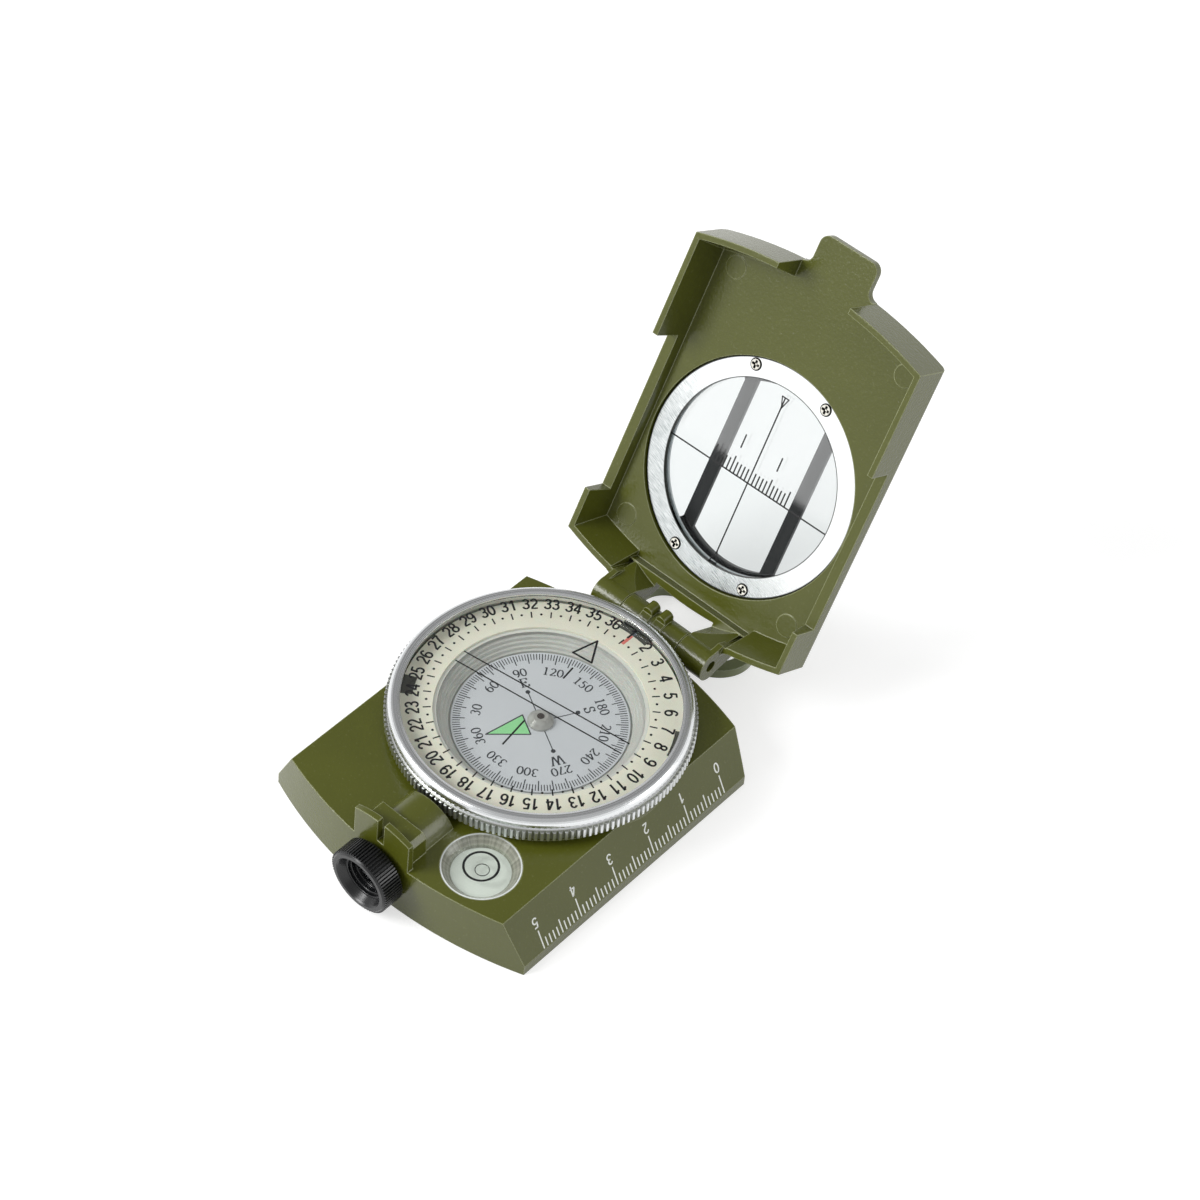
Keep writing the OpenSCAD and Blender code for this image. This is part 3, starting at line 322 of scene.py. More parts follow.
# Printing inks: flat colour in a thin, slightly uneven film
inkLook = {"roughness": 0.6, "edge": 0.01, "bump": 0.1, "cloudSize": 1.2}
mouldedLooks.update({
    "blackInk": dict(inkLook, colour="0c0d0e", shade="121314"),
    "cardInk": dict(inkLook, colour="2b3038", shade="343a43"),
    "whiteInk": dict(inkLook, colour="f1f3ee", shade="e4e8e0"),
    "redInk": dict(inkLook, colour="de6f66", shade="d87a70"),
    "luminousGreenInk": dict(inkLook, colour="a4f2ae", shade="98e8a2"),
    "squareInk": dict(inkLook, colour="5c6672", shade="525c68"),
    # Painted highlight on the vial's polished acrylic rim, where it catches the light
    "rimHighlight": dict(inkLook, colour="dfe3e0", shade="cfd4d1", roughness=0.15),
})
moulded = {name: makeMoulded(name, dict(plainLook, **look)) for name, look in mouldedLooks.items()}
turnedAluminium = makeTurnedAluminium()
brushedNickel = makeBrushedRing()
screwHeads = makeScrewHeads()
print("solid finishes made")


# Clear polished sheet that lets light straight through: thin, so it doesn't bend what lies behind it
def makeClearSheet(name, look):
    material, tree = newMaterial(name)
    waves = addNode(tree, "TexNoise", {"Scale": 1 / look["waveSize"], "Detail": 2},
                    {"Vector": texturePoint(tree)})
    relief = addNode(tree, "Bump", {"Strength": look["bump"], "Distance": look["relief"] * mm},
                     {"Height": waves})
    through = addNode(tree, "BsdfTransparent", {"Color": linearColour(look["tint"])})
    mirror = addNode(tree, "BsdfGlossy", {"Color": (1, 1, 1, 1), "Roughness": look["roughness"]},
                     {"Normal": relief})
    facing = addNode(tree, "LayerWeight", {"Blend": 0.5}, {"Normal": relief}).outputs["Facing"]
    # a sheet mirrors most at a low angle
    steep = addNode(tree, "Math", {1: look["steepness"]}, {0: facing}, operation="POWER")
    share = addNode(tree, "MapRange", {"To Min": look["headOn"], "To Max": look["grazing"]}, {"Value": steep})
    if "mirror" in look:  # half-mirrored coating on the upper part of the sight glass
        upTheLid = addNode(tree, "SeparateXYZ", {}, {"Vector": texturePoint(tree, onLid=True)}).outputs["Y"]
        coated = addNode(tree, "MapRange", {"From Min": look["mirrorFrom"], "From Max": look["mirrorTo"],
                                            "To Max": look["mirror"]},
                         {"Value": upTheLid}, interpolation_type="SMOOTHSTEP")
        share = addNode(tree, "Math", {}, {0: share, 1: coated}, operation="MAXIMUM")
    finishMaterial(tree, addNode(tree, "MixShader", {}, {0: share, 1: through, 2: mirror}))
    return material


# Cast and polished acrylic of the dial's cover
clearLook = {"tint": "fdfdfc", "roughness": 0.04, "headOn": 0.03, "grazing": 0.5, "steepness": 5.0,
             "waveSize": 25 / 3, "bump": 0.05, "relief": 0.02}
coverAcrylic = makeClearSheet("coverAcrylic", clearLook)
# The same in the capsule's window, wetted by liquid on its inner side, so it mirrors less
windowAcrylic = makeClearSheet("capsuleAcrylic", dict(clearLook, tint="fdfdfd", roughness=0.05, headOn=0.02,
                                                      grazing=0.3))
# Moulded acrylic of the vial
vialAcrylic = makeClearSheet("vialAcrylic", dict(clearLook, tint="fbfdfb", roughness=0.03, headOn=0.04,
                                                 grazing=0.7))
# Ground and polished glass, whose coating fades in just above the cross line
sightGlass = makeClearSheet("sightGlass", dict(clearLook, tint="f2f4f4", roughness=0.01, headOn=0.01,
                                               grazing=0.6, mirrorFrom=-0.6, mirrorTo=2.4, mirror=0.135))


# Moulded acrylic on the slanted inner wall of the vial: glossy, with painted reflections in pale and dark
# streaks and rings
def makeVialWall():
    look = {"pale": "b9b8ab", "dark": "595750", "streaks": 14.0, "ringWidth": 0.625, "ringShare": 0.6,
            "tones": (0.3, 0.68), "shader": {"Roughness": 0.1, "IOR": 1.49}}
    material, tree = newMaterial("vialWall")
    centred = addNode(tree, "Mapping", {"Location": (-levelPlace["x"], -levelPlace["y"], 0)},
                      {"Vector": texturePoint(tree)})
    flat, radius = flatAndRadius(tree, centred)
    way = addNode(tree, "VectorMath", {}, {0: flat}, operation="NORMALIZE")
    streaks = addNode(tree, "TexNoise", {"Scale": look["streaks"], "Detail": 3}, {"Vector": way})
    rings = addNode(tree, "TexNoise", {"Scale": 1 / look["ringWidth"], "Detail": 2}, {"W": radius},
                    noise_dimensions="1D")
    both = addNode(tree, "Mix", {"Factor": look["ringShare"]}, {"A": streaks, "B": rings})
    dark, pale = look["tones"]
    tone = addNode(tree, "MapRange", {"From Min": dark, "From Max": pale}, {"Value": both})
    wall = addNode(tree, "Mix", {"A": linearColour(look["dark"]), "B": linearColour(look["pale"])},
                   {"Factor": tone}, data_type="RGBA")
    finishMaterial(tree, addNode(tree, "BsdfPrincipled", look["shader"], {"Base Color": wall}))
    return material


# Ground crown glass of the eyepiece: bends light, but lets lamps through to what it covers
def makeLensGlass():
    look = {"tint": "f2f7f8", "ior": 1.52, "edge": 0.12, "waveSize": 2.0, "bump": 0.06, "relief": 0.02}
    material, tree = newMaterial("lensGlass")
    waves = addNode(tree, "TexNoise", {"Scale": 1 / look["waveSize"], "Detail": 2},
                    {"Vector": texturePoint(tree)})
    rounded = addNode(tree, "Bevel", {"Radius": look["edge"] * mm}, samples=4)
    relief = addNode(tree, "Bump", {"Strength": look["bump"], "Distance": look["relief"] * mm},
                     {"Height": waves, "Normal": rounded})
    tint = linearColour(look["tint"])
    solid = addNode(tree, "BsdfPrincipled", {"Base Color": tint, "Transmission Weight": 1.0,
                                             "IOR": look["ior"], "Roughness": 0.0}, {"Normal": relief})
    clear = addNode(tree, "BsdfTransparent", {"Color": tint})
    forLamps = addNode(tree, "LightPath").outputs["Is Shadow Ray"]
    finishMaterial(tree, addNode(tree, "MixShader", {}, {0: forLamps, 1: solid, 2: clear}))
    return material


# Air in the level's liquid: clear in the middle, dark where its edge bends the light away
def makeBubbleAir():
    look = {"dark": "4c524e", "blend": 0.35, "edge": (0.3, 0.75), "patchSize": 1 / 1.1, "roughness": 0.1}
    material, tree = newMaterial("bubbleAir")
    facing = addNode(tree, "LayerWeight", {"Blend": look["blend"]}).outputs["Facing"]
    uneven = addNode(tree, "TexNoise", {"Scale": 1 / look["patchSize"], "Detail": 1},
                     {"Vector": texturePoint(tree)})
    start, full = look["edge"]
    edge = addNode(tree, "MapRange", {"From Min": start, "From Max": full}, {"Value": facing})
    share = addNode(tree, "Math", {}, {0: edge, 1: uneven}, operation="MULTIPLY")
    clear = addNode(tree, "BsdfTransparent", {"Color": (1, 1, 1, 1)})
    dark = addNode(tree, "BsdfPrincipled", {"Base Color": linearColour(look["dark"]),
                                            "Roughness": look["roughness"]})
    finishMaterial(tree, addNode(tree, "MixShader", {}, {0: share, 1: clear, 2: dark}))
    return material


vialWall = makeVialWall()
lensGlass = makeLensGlass()
bubbleAir = makeBubbleAir()
print("clear finishes made")

nodeFinishes = {
    "base_housing": olivePaint,
    "lid": lidPaint,
    "bottom_cover": coverPaint,
    "thumb_ring": loopSheenPaint,
    "bezel": turnedAluminium,
    "bezel_spring": turnedAluminium,
    "clamp_ring": brushedNickel,
    "ring_screws": screwHeads,
    "pivot_pin": moulded["zincPlatedSteel"],
    "hinge_pin": moulded["paintedPinSteel"],
    "luminous_ring": moulded["luminousResin"],
    "ring_pads": moulded["padRubber"],
    "capsule_bowl": moulded["capsuleStyrene"],
    "compass_card": moulded["cardSheet"],
    "level_disc": moulded["whiteAcetal"],
    "focus_ring": moulded["blackAbs"],
    "lens_tube": moulded["blackAbs"],
    "rear_frame": moulded["frameAbs"],
    "card_magnet": moulded["sinteredMagnet"],
    "pivot_jewel": moulded["bearingJewel"],
    "pivot_cup": moulded["cupAcrylic"],
    "dial_cover": coverAcrylic,
    "capsule_window": windowAcrylic,
    "sight_glass": sightGlass,
    "level_vial": vialAcrylic,
    "eyepiece_lens": lensGlass,
}
for name, material in nodeFinishes.items():
    slots = nodes[name].data.materials
    slots.clear()
    slots.append(material)
print("finishes on the nodes")


# Points of an arc of an ellipse, angles in degrees
def arc(centre, radii, start, end, steps=14):
    turns = [math.radians(start + (end - start) * i / steps) for i in range(steps + 1)]
    return [(centre[0] + radii[0] * math.cos(t), centre[1] + radii[1] * math.sin(t)) for t in turns]


# Pen strokes of plain dial figures, in figure heights, from the left foot
plainStrokes = {
    "0": [arc((0.28, 0.5), (0.21, 0.44), 90, 450, 28)],
    "1": [[(0.11, 0.72), (0.2, 0.77), (0.28, 0.87), (0.33, 0.98)], [(0.35, 0.99), (0.35, 0.0)]],
    "2": [arc((0.28, 0.69), (0.205, 0.25), 172, -38) + [(0.22, 0.28), (0.1, 0.12)],
          [(0.04, 0.06), (0.52, 0.06)]],
    "3": [arc((0.27, 0.73), (0.185, 0.21), 165, -78), arc((0.27, 0.29), (0.215, 0.235), 84, -165),
          [(0.2, 0.52), (0.31, 0.52)]],
    "4": [[(0.37, 0.95), (0.06, 0.29)], [(0.02, 0.27), (0.54, 0.27)], [(0.4, 0.0), (0.4, 0.98)]],
    "5": [[(0.13, 0.94), (0.49, 0.94)], [(0.17, 0.97), (0.11, 0.47)],
          arc((0.28, 0.32), (0.22, 0.265), 142, -155, 18)],
    "6": [arc((0.3, 0.5), (0.235, 0.44), 42, 200), arc((0.29, 0.31), (0.21, 0.25), 90, 450, 24)],
    "7": [[(0.04, 0.94), (0.53, 0.94)], [(0.5, 0.92), (0.36, 0.66), (0.25, 0.36), (0.2, 0.0)]],
    "8": [arc((0.28, 0.735), (0.17, 0.205), 90, 450, 22), arc((0.28, 0.29), (0.215, 0.235), 90, 450, 24)],
}
plainStrokes["9"] = [[(0.56 - x, 1 - y) for x, y in stroke] for stroke in plainStrokes["6"]]

# Pen strokes of the card's roman figures and letters: their thin parts run level
romanStrokes = {
    "0": [arc((0.25, 0.34), (0.185, 0.32), 90, 450, 28)],
    "1": [[(0.25, 0.0), (0.25, 0.68)], [(0.12, 0.6), (0.25, 0.66)], [(0.12, 0.015), (0.38, 0.015)]],
    "2": [arc((0.24, 0.49), (0.16, 0.17), 160, -40) + [(0.2, 0.16), (0.06, 0.03)],
          [(0.05, 0.035), (0.4, 0.035)], [(0.4, 0.03), (0.44, 0.13)]],
    "3": [arc((0.23, 0.52), (0.14, 0.14), 155, -75), arc((0.22, 0.21), (0.17, 0.19), 80, -150)],
    "4": [[(0.3, 0.66), (0.04, 0.22)], [(0.03, 0.2), (0.45, 0.2)], [(0.32, 0.0), (0.32, 0.67)]],
    "5": [[(0.14, 0.64), (0.4, 0.64)], [(0.15, 0.65), (0.12, 0.4)],
          arc((0.21, 0.22), (0.18, 0.2), 120, -150)],
    "6": [arc((0.3, 0.28), (0.23, 0.38), 100, 185), arc((0.25, 0.22), (0.17, 0.2), 90, 450, 22)],
    "7": [[(0.06, 0.64), (0.43, 0.64)], [(0.42, 0.64), (0.18, 0.0)], [(0.06, 0.65), (0.05, 0.52)]],
    "8": [arc((0.25, 0.5), (0.13, 0.15), 90, 450, 20), arc((0.25, 0.18), (0.165, 0.165), 90, 450, 20)],
    "E": [[(0.16, 0.0), (0.16, 0.7)], [(0.04, 0.015), (0.55, 0.015)], [(0.04, 0.685), (0.53, 0.685)],
          [(0.16, 0.36), (0.42, 0.36)], [(0.42, 0.28), (0.42, 0.45)], [(0.52, 0.7), (0.54, 0.54)],
          [(0.54, 0.0), (0.59, 0.17)]],
    "S": [arc((0.25, 0.52), (0.15, 0.16), 40, 235) + arc((0.26, 0.19), (0.17, 0.175), 70, -150),
          [(0.4, 0.7), (0.4, 0.52)], [(0.09, 0.2), (0.09, 0.0)]],
    "W": [[(0.12, 0.69), (0.32, 0.0)], [(0.34, 0.0), (0.5, 0.6)], [(0.47, 0.69), (0.68, 0.0)],
          [(0.7, 0.0), (0.88, 0.69)], [(0.02, 0.69), (0.24, 0.69)], [(0.38, 0.69), (0.58, 0.69)],
          [(0.78, 0.69), (0.98, 0.69)]],
}
romanStrokes["9"] = [[(0.5 - x, 0.68 - y) for x, y in stroke] for stroke in romanStrokes["6"]]


# One ribbon of ink along a stroke, as wide as a broad pen would leave it
def penStroke(target, points, thick, thin):
    edge = None
    for i, point in enumerate(points):
        before, after = points[max(i - 1, 0)], points[min(i + 1, len(points) - 1)]
        along = Vector((after[0] - before[0], after[1] - before[1], 0)).normalized()
        half = (thin + (thick - thin) * abs(along.y)) / 2
        side = Vector((-along.y, along.x, 0)) * half
        middle = Vector((point[0], point[1], 0))
        if edge is None:
            ends = [target.verts.new(middle - side), target.verts.new(middle + side)]
            edge = target.edges.new(ends)
            leftEnd = ends[1]
            continue
        grown = bmesh.ops.extrude_edge_only(target, edges=[edge])["geom"]
        edge = next(g for g in grown if isinstance(g, bmesh.types.BMEdge))
        nearLeft = min(edge.verts, key=lambda v: (v.co - leftEnd.co).length)
        for vert in edge.verts:
            vert.co = middle + (side if vert is nearLeft else -side)
        leftEnd = nearLeft


# Solid figure of ink, one unit high and thick, kept as a mesh to be stamped many times
def makeFigure(strokes, thick, thin):
    figure = bmesh.new()
    for points in strokes:
        penStroke(figure, points, thick, thin)
    figure.normal_update()
    for face in figure.faces:
        if face.normal.z < 0:
            face.normal_flip()
    figure.normal_update()
    bmesh.ops.solidify(figure, geom=figure.faces[:], thickness=1.0)
    bmesh.ops.recalc_face_normals(figure, faces=figure.faces[:])
    lowest = min(v.co.z for v in figure.verts)
    bmesh.ops.translate(figure, vec=(0, 0, -lowest), verts=figure.verts[:])
    mesh = bpy.data.meshes.new("figure")
    figure.to_mesh(mesh)
    figure.free()
    return mesh


# Adds a copy of a mesh to the piece being built
def stamp(target, mesh, matrix):
    placed = mesh.copy()
    placed.transform(matrix)
    target.from_mesh(placed)
    bpy.data.meshes.remove(placed)


# Prints a number or a letter centred on a place, with its top along upward; a letter is capHeight high
def printWord(target, figures, word, place, height, advance, capHeight, film):
    width = advance * len(word)
    for i, letter in enumerate(word):
        shift = Matrix.Translation((advance * i - width / 2, -capHeight / 2, 0))
        stamp(target, figures[letter], place @ Matrix.Diagonal((height, height, film, 1)) @ shift)


# A straight bar of ink between two points, flat on the plane of place
def printBar(target, place, start, end, width, film):
    run = Vector((end[0] - start[0], end[1] - start[1], 0))
    middle = Matrix.Translation(((start[0] + end[0]) / 2, (start[1] + end[1]) / 2, film / 2))
    turn = Matrix.Rotation(math.atan2(run.y, run.x), 4, "Z")
    size = Matrix.Diagonal((run.length, width, film, 1))
    bmesh.ops.create_cube(target, size=1, matrix=place @ middle @ turn @ size)


# A round dot of ink
def printDot(target, place, centre, radius, film):
    bmesh.ops.create_cone(target, cap_ends=True, segments=16, radius1=radius, radius2=radius, depth=film,
                          matrix=place @ Matrix.Translation((centre[0], centre[1], film / 2)))


# Joins straight bars of ink round a closed outline, with a dot at each corner
def printOutline(target, place, corners, width, film):
    for start, end in zip(corners, corners[1:] + corners[:1]):
        printBar(target, place, start, end, width, film)
        printDot(target, place, start, width / 2, film)


# A triangle that points along its place's own upward axis, or down it where the base is higher
def triangle(x, tip, base, half):
    return [(x, tip), (x + half, base), (x - half, base)]


# Makes an object of a shape that was built in millimetres
def makeObject(name, built, material, smooth=False):
    mesh = bpy.data.meshes.new(name)
    built.to_mesh(mesh)
    built.free()
    mesh.transform(Matrix.Scale(mm, 4))
    mesh.materials.append(material)
    for polygon in mesh.polygons:
        polygon.use_smooth = smooth
    made = bpy.data.objects.new(name, mesh)
    bpy.context.scene.collection.objects.link(made)
    return made


def makePiece(name, built, material, body, smooth=False):
    piece = makeObject(name, built, material, smooth)
    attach(piece, body)
    return piece


# A turned ring or disc: its outline in radius and height spun round the upright axis of place
def spinRing(outline, place=Matrix.Identity(4), steps=96):
    ring = bmesh.new()
    verts = [ring.verts.new((r, 0, z)) for r, z in outline]
    edges = [ring.edges.new(pair) for pair in zip(verts, verts[1:] + verts[:1])]
    bmesh.ops.spin(ring, geom=verts + edges, cent=(0, 0, 0), axis=(0, 0, 1), angle=2 * math.pi, steps=steps,
                   use_merge=True)
    bmesh.ops.remove_doubles(ring, verts=ring.verts[:], dist=1e-4)
    bmesh.ops.recalc_face_normals(ring, faces=ring.faces[:])
    bmesh.ops.transform(ring, matrix=place, verts=ring.verts[:])
    return ring


# A ring of square section
def squareRing(inner, outer, low, high, place=Matrix.Identity(4), steps=96):
    return spinRing([(inner, low), (outer, low), (outer, high), (inner, high)], place, steps)


# Turns a piece of print to an azimuth, counted from the hinge towards the ruler, top outwards
def atAzimuth(azimuth, radius, height):
    turn = Matrix.Rotation(math.radians(-azimuth), 4, "Z")
    return Matrix.Translation((0, 0, height)) @ turn @ Matrix.Translation((0, radius, 0))


def topOf(node):
    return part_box(node)[1][2] / mm


# How wide the upright and the level parts of a figure are, in figure heights
penWidths = {"plain": (0.165, 0.145), "light": (0.135, 0.125), "roman": (0.115, 0.055)}
plainFigures = {c: makeFigure(s, *penWidths["plain"]) for c, s in plainStrokes.items()}
lightFigures = {c: makeFigure(s, *penWidths["light"]) for c, s in plainStrokes.items()}
romanFigures = {c: makeFigure(s, *penWidths["roman"]) for c, s in romanStrokes.items()}


# Print on the clear cover disc, which turns with the bezel
def makeDialPrint():
    size = {"film": 0.012, "offset": -8.0, "figureRadius": 24.2, "figureHeight": 2.6, "figureAdvance": 0.6,
            "tick": (20.7, 22.2), "tickWidth": 0.29, "dotRadius": 21.5, "dotSize": 0.26, "lineGap": 1.39,
            "lineEnd": 18.8, "lineWidth": 0.29, "outlineWidth": 0.42, "tip": 18.5, "base": 13.4,
            "halfWidth": 2.13, "tails": ((-12.7, -5.6), (7.0, 10.3)), "tailWidth": 0.36}
    film = size["film"]
    face = topOf("dial_cover")
    printed = bmesh.new()
    for number in range(1, 37):
        azimuth = 10 * number + size["offset"]
        printWord(printed, plainFigures, str(number), atAzimuth(azimuth, size["figureRadius"], face),
                  size["figureHeight"], size["figureAdvance"], 1.0, film)
        low, high = size["tick"]
        printBar(printed, atAzimuth(azimuth, 0, face), (0, low), (0, high), size["tickWidth"], film)
        printDot(printed, atAzimuth(azimuth + 5, 0, face), (0, size["dotRadius"]), size["dotSize"], film)
    north = atAzimuth(size["offset"], 0, face)
    for row in (-size["lineGap"], size["lineGap"]):
        printBar(printed, north, (-size["lineEnd"], row), (size["lineEnd"], row), size["lineWidth"], film)
    for low, high in size["tails"]:
        printBar(printed, north, (0, low), (0, high), size["tailWidth"], film)
    printOutline(printed, north, triangle(0, size["tip"], size["base"], size["halfWidth"]),
                 size["outlineWidth"], film)
    dialInk = makePiece("dialPrint", printed, moulded["blackInk"], "bezel_assembly")
    dialInk.visible_shadow = False  # the photograph's light is too soft for the figures to throw a shadow
    print("dial print made")


# Print on the floating card, and its luminous north arrow
def makeCardPrint():
    size = {"film": 0.01, "offset": -151.4, "tickOuter": 16.55, "longInner": 14.2, "shortInner": 15.1,
            "longWidth": 0.22, "shortWidth": 0.18, "figureRadius": 12.3, "figureHeight": 2.75,
            "figureAdvance": 0.5, "capHeight": 0.68, "letterRadius": 9.75, "letterHeight": 3.0,
            "letters": ((90, "E", 0.6), (180, "S", 0.5), (270, "W", 1.0)), "spoke": (2.3, 7.45),
            "spokeWidth": 0.2, "dotSize": 0.46, "arrowTip": 10.8, "arrowBase": 2.75, "arrowHalf": 2.45,
            "arrowEdge": 0.26}
    film = size["film"]
    face = topOf("compass_card")
    printed = bmesh.new()
    for step in range(180):
        kind = "long" if step % 5 == 0 else "short"
        printBar(printed, atAzimuth(2 * step + size["offset"], 0, face), (0, size[kind + "Inner"]),
                 (0, size["tickOuter"]), size[kind + "Width"], film)
    for value in range(30, 361, 30):
        place = atAzimuth(value + size["offset"], size["figureRadius"], face)
        printWord(printed, romanFigures, str(value), place, size["figureHeight"], size["figureAdvance"],
                  size["capHeight"], film)
    for value, letter, width in size["letters"]:
        azimuth = value + size["offset"]
        printWord(printed, romanFigures, letter, atAzimuth(azimuth, size["letterRadius"], face),
                  size["letterHeight"], width, size["capHeight"], film)
        start, end = size["spoke"]
        printDot(printed, atAzimuth(azimuth, 0, face), (0, end), size["dotSize"], film)
        printBar(printed, atAzimuth(azimuth, 0, face), (0, start), (0, end), size["spokeWidth"], film)
    north = atAzimuth(size["offset"], 0, face)
    corners = triangle(0, size["arrowTip"], size["arrowBase"], size["arrowHalf"])
    printOutline(printed, north, corners, size["arrowEdge"], film * 2)
    makePiece("cardPrint", printed, moulded["cardInk"], "card_assembly")
    arrow = bmesh.new()
    arrow.faces.new([arrow.verts.new(north @ Vector((x, y, film))) for x, y in reversed(corners)])
    arrow.normal_update()
    bmesh.ops.solidify(arrow, geom=arrow.faces[:], thickness=film)
    bmesh.ops.recalc_face_normals(arrow, faces=arrow.faces[:])
    makePiece("northArrow", arrow, moulded["luminousGreenInk"], "card_assembly")
    print("card print made")


# Centimetre scale on the sloping case edge, read from the ledge side
def makeRulerPrint():
    size = {"topX": 26.8, "topZ": 12.0, "footX": 31.56, "footZ": 2.43, "zeroY": 17.7, "start": 0.98,
            "film": 0.012, "centimetre": 4.1, "half": 3.0, "millimetre": 2.0, "width": 0.28,
            "figureHeight": 2.3, "figureAdvance": 0.56, "figureGap": 1.75}
    film = size["film"]
    top = Vector((size["topX"], 0, size["topZ"]))
    slope = Vector((size["footX"], 0, size["footZ"])) - top
    downhill = slope.normalized()
    outward = Vector((-downhill.z, 0, downhill.x))
    start = top + slope * size["start"]
    # x against the case's Y, y down the slope, z outwards, so that the figures' tops are at the ledge
    place = Matrix((
        (0, downhill.x, outward.x, start.x),
        (-1, 0, 0, 0),
        (0, downhill.z, outward.z, start.z),
        (0, 0, 0, 1)))
    printed = bmesh.new()
    for step in range(51):
        kind = "centimetre" if step % 10 == 0 else "half" if step % 5 == 0 else "millimetre"
        along = step - size["zeroY"]
        printBar(printed, place, (along, 0), (along, -size[kind]), size["width"], film)
        if kind == "centimetre":
            figurePlace = place @ Matrix.Translation((along, -size["centimetre"] - size["figureGap"], 0))
            printWord(printed, lightFigures, str(step // 10), figurePlace, size["figureHeight"],
                      size["figureAdvance"], 1.0, film)
    bmesh.ops.recalc_face_normals(printed, faces=printed.faces[:])
    makePiece("rulerPrint", printed, moulded["whiteInk"], "case")
    print("ruler print made")


# Sighting lines and scale on the inner face of the lid's glass
def makeGlassPrint():
    size = {"turn": 0.6, "film": 0.01, "lineWidth": 0.32, "cross": -1.44, "rim": 19.9, "uprightX": -0.25,
            "upright": (-17.3, 17.4), "tickWidth": 0.33, "pitch": 0.905, "tick": 2.55, "longTick": 3.4,
            "mark": (3.85, 6.85), "marksX": (-4.6, 4.4), "arrowX": -0.18, "arrowHalf": 0.8,
            "arrows": ((15.2, 17.4), (-16.9, -19.2)), "arrowWidth": 0.256}
    film, width, cross, middle = size["film"], size["lineWidth"], size["cross"], size["uprightX"]
    place = (windowPlace @ Matrix.Translation((0, 0, lidFrame["glassTop"]))
             @ Matrix.Rotation(math.radians(size["turn"]), 4, "Z"))
    printed = bmesh.new()
    printBar(printed, place, (-size["rim"], cross), (size["rim"], cross), width, film)
    low, high = size["upright"]
    printBar(printed, place, (middle, low), (middle, high), width, film)
    for step in [*range(-10, 0), *range(1, 11)]:
        tick = size["longTick"] if step % 5 == 0 else size["tick"]
        x = middle + step * size["pitch"]
        printBar(printed, place, (x, cross), (x, cross + tick), size["tickWidth"], film)
    low, high = size["mark"]
    for x in size["marksX"]:
        printBar(printed, place, (x, low), (x, high), width, film)
    for tip, base in size["arrows"]:
        corners = triangle(size["arrowX"], tip, base, size["arrowHalf"])
        printOutline(printed, place, corners, size["arrowWidth"], film)
    makePiece("glassPrint", printed, moulded["blackInk"], "lid_assembly")
    print("glass print made")


# Black moulded frame behind the glass: two stepped arcs and the flat legs between them, as narrow as seen
def makeRearFrame():
    size = {"reach": 36.2, "drop": -0.5, "legs": (8.55, 11.35), "legEnd": 17.0, "legHeights": (-15.3, -14.2),
            "softEdge": 0.16, "section": ((18.65, -15.4), (20.5, -15.4), (20.5, -12.85), (20.05, -12.85),
                                          (19.75, -13.05), (19.6, -13.9), (19.45, -14.1), (18.85, -14.1),
                                          (18.65, -14.3))}
    built = bmesh.new()
    for middleTurn in (90, 270):
        start = Matrix.Rotation(math.radians(middleTurn - size["reach"]), 4, "Z")
        profile = built.faces.new([built.verts.new(start @ Vector((r, 0, z))) for r, z in size["section"]])
        bmesh.ops.spin(built, geom=[profile, *profile.edges, *profile.verts], cent=(0, 0, 0), axis=(0, 0, 1),
                       angle=math.radians(2 * size["reach"]), steps=48)
    bmesh.ops.translate(built, vec=(0, size["drop"], 0), verts=built.verts[:])
    inner, outer = size["legs"]
    back, front = size["legHeights"]
    legSize = Matrix.Diagonal((outer - inner, 2 * size["legEnd"], front - back, 1))
    for side in (-1, 1):
        legPlace = Matrix.Translation((side * (inner + outer) / 2, 0, (back + front) / 2))
        leg = bmesh.ops.create_cube(built, size=1, matrix=legPlace @ legSize)["verts"]
        longEdges = [edge for edge in {e for v in leg for e in v.link_edges}
                     if abs(edge.verts[0].co.y - edge.verts[1].co.y) > size["legEnd"]]
        bmesh.ops.bevel(built, geom=longEdges, offset=size["softEdge"], segments=2, profile=0.5,
                        affect="EDGES", material=-1)
    bmesh.ops.recalc_face_normals(built, faces=built.faces[:])
    bmesh.ops.transform(built, matrix=windowPlace, verts=built.verts[:])
    rearFrame = makePiece("rearFrame", built, moulded["frameAbs"], "lid_assembly")
    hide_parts("rear_frame")
    print("rear frame made")


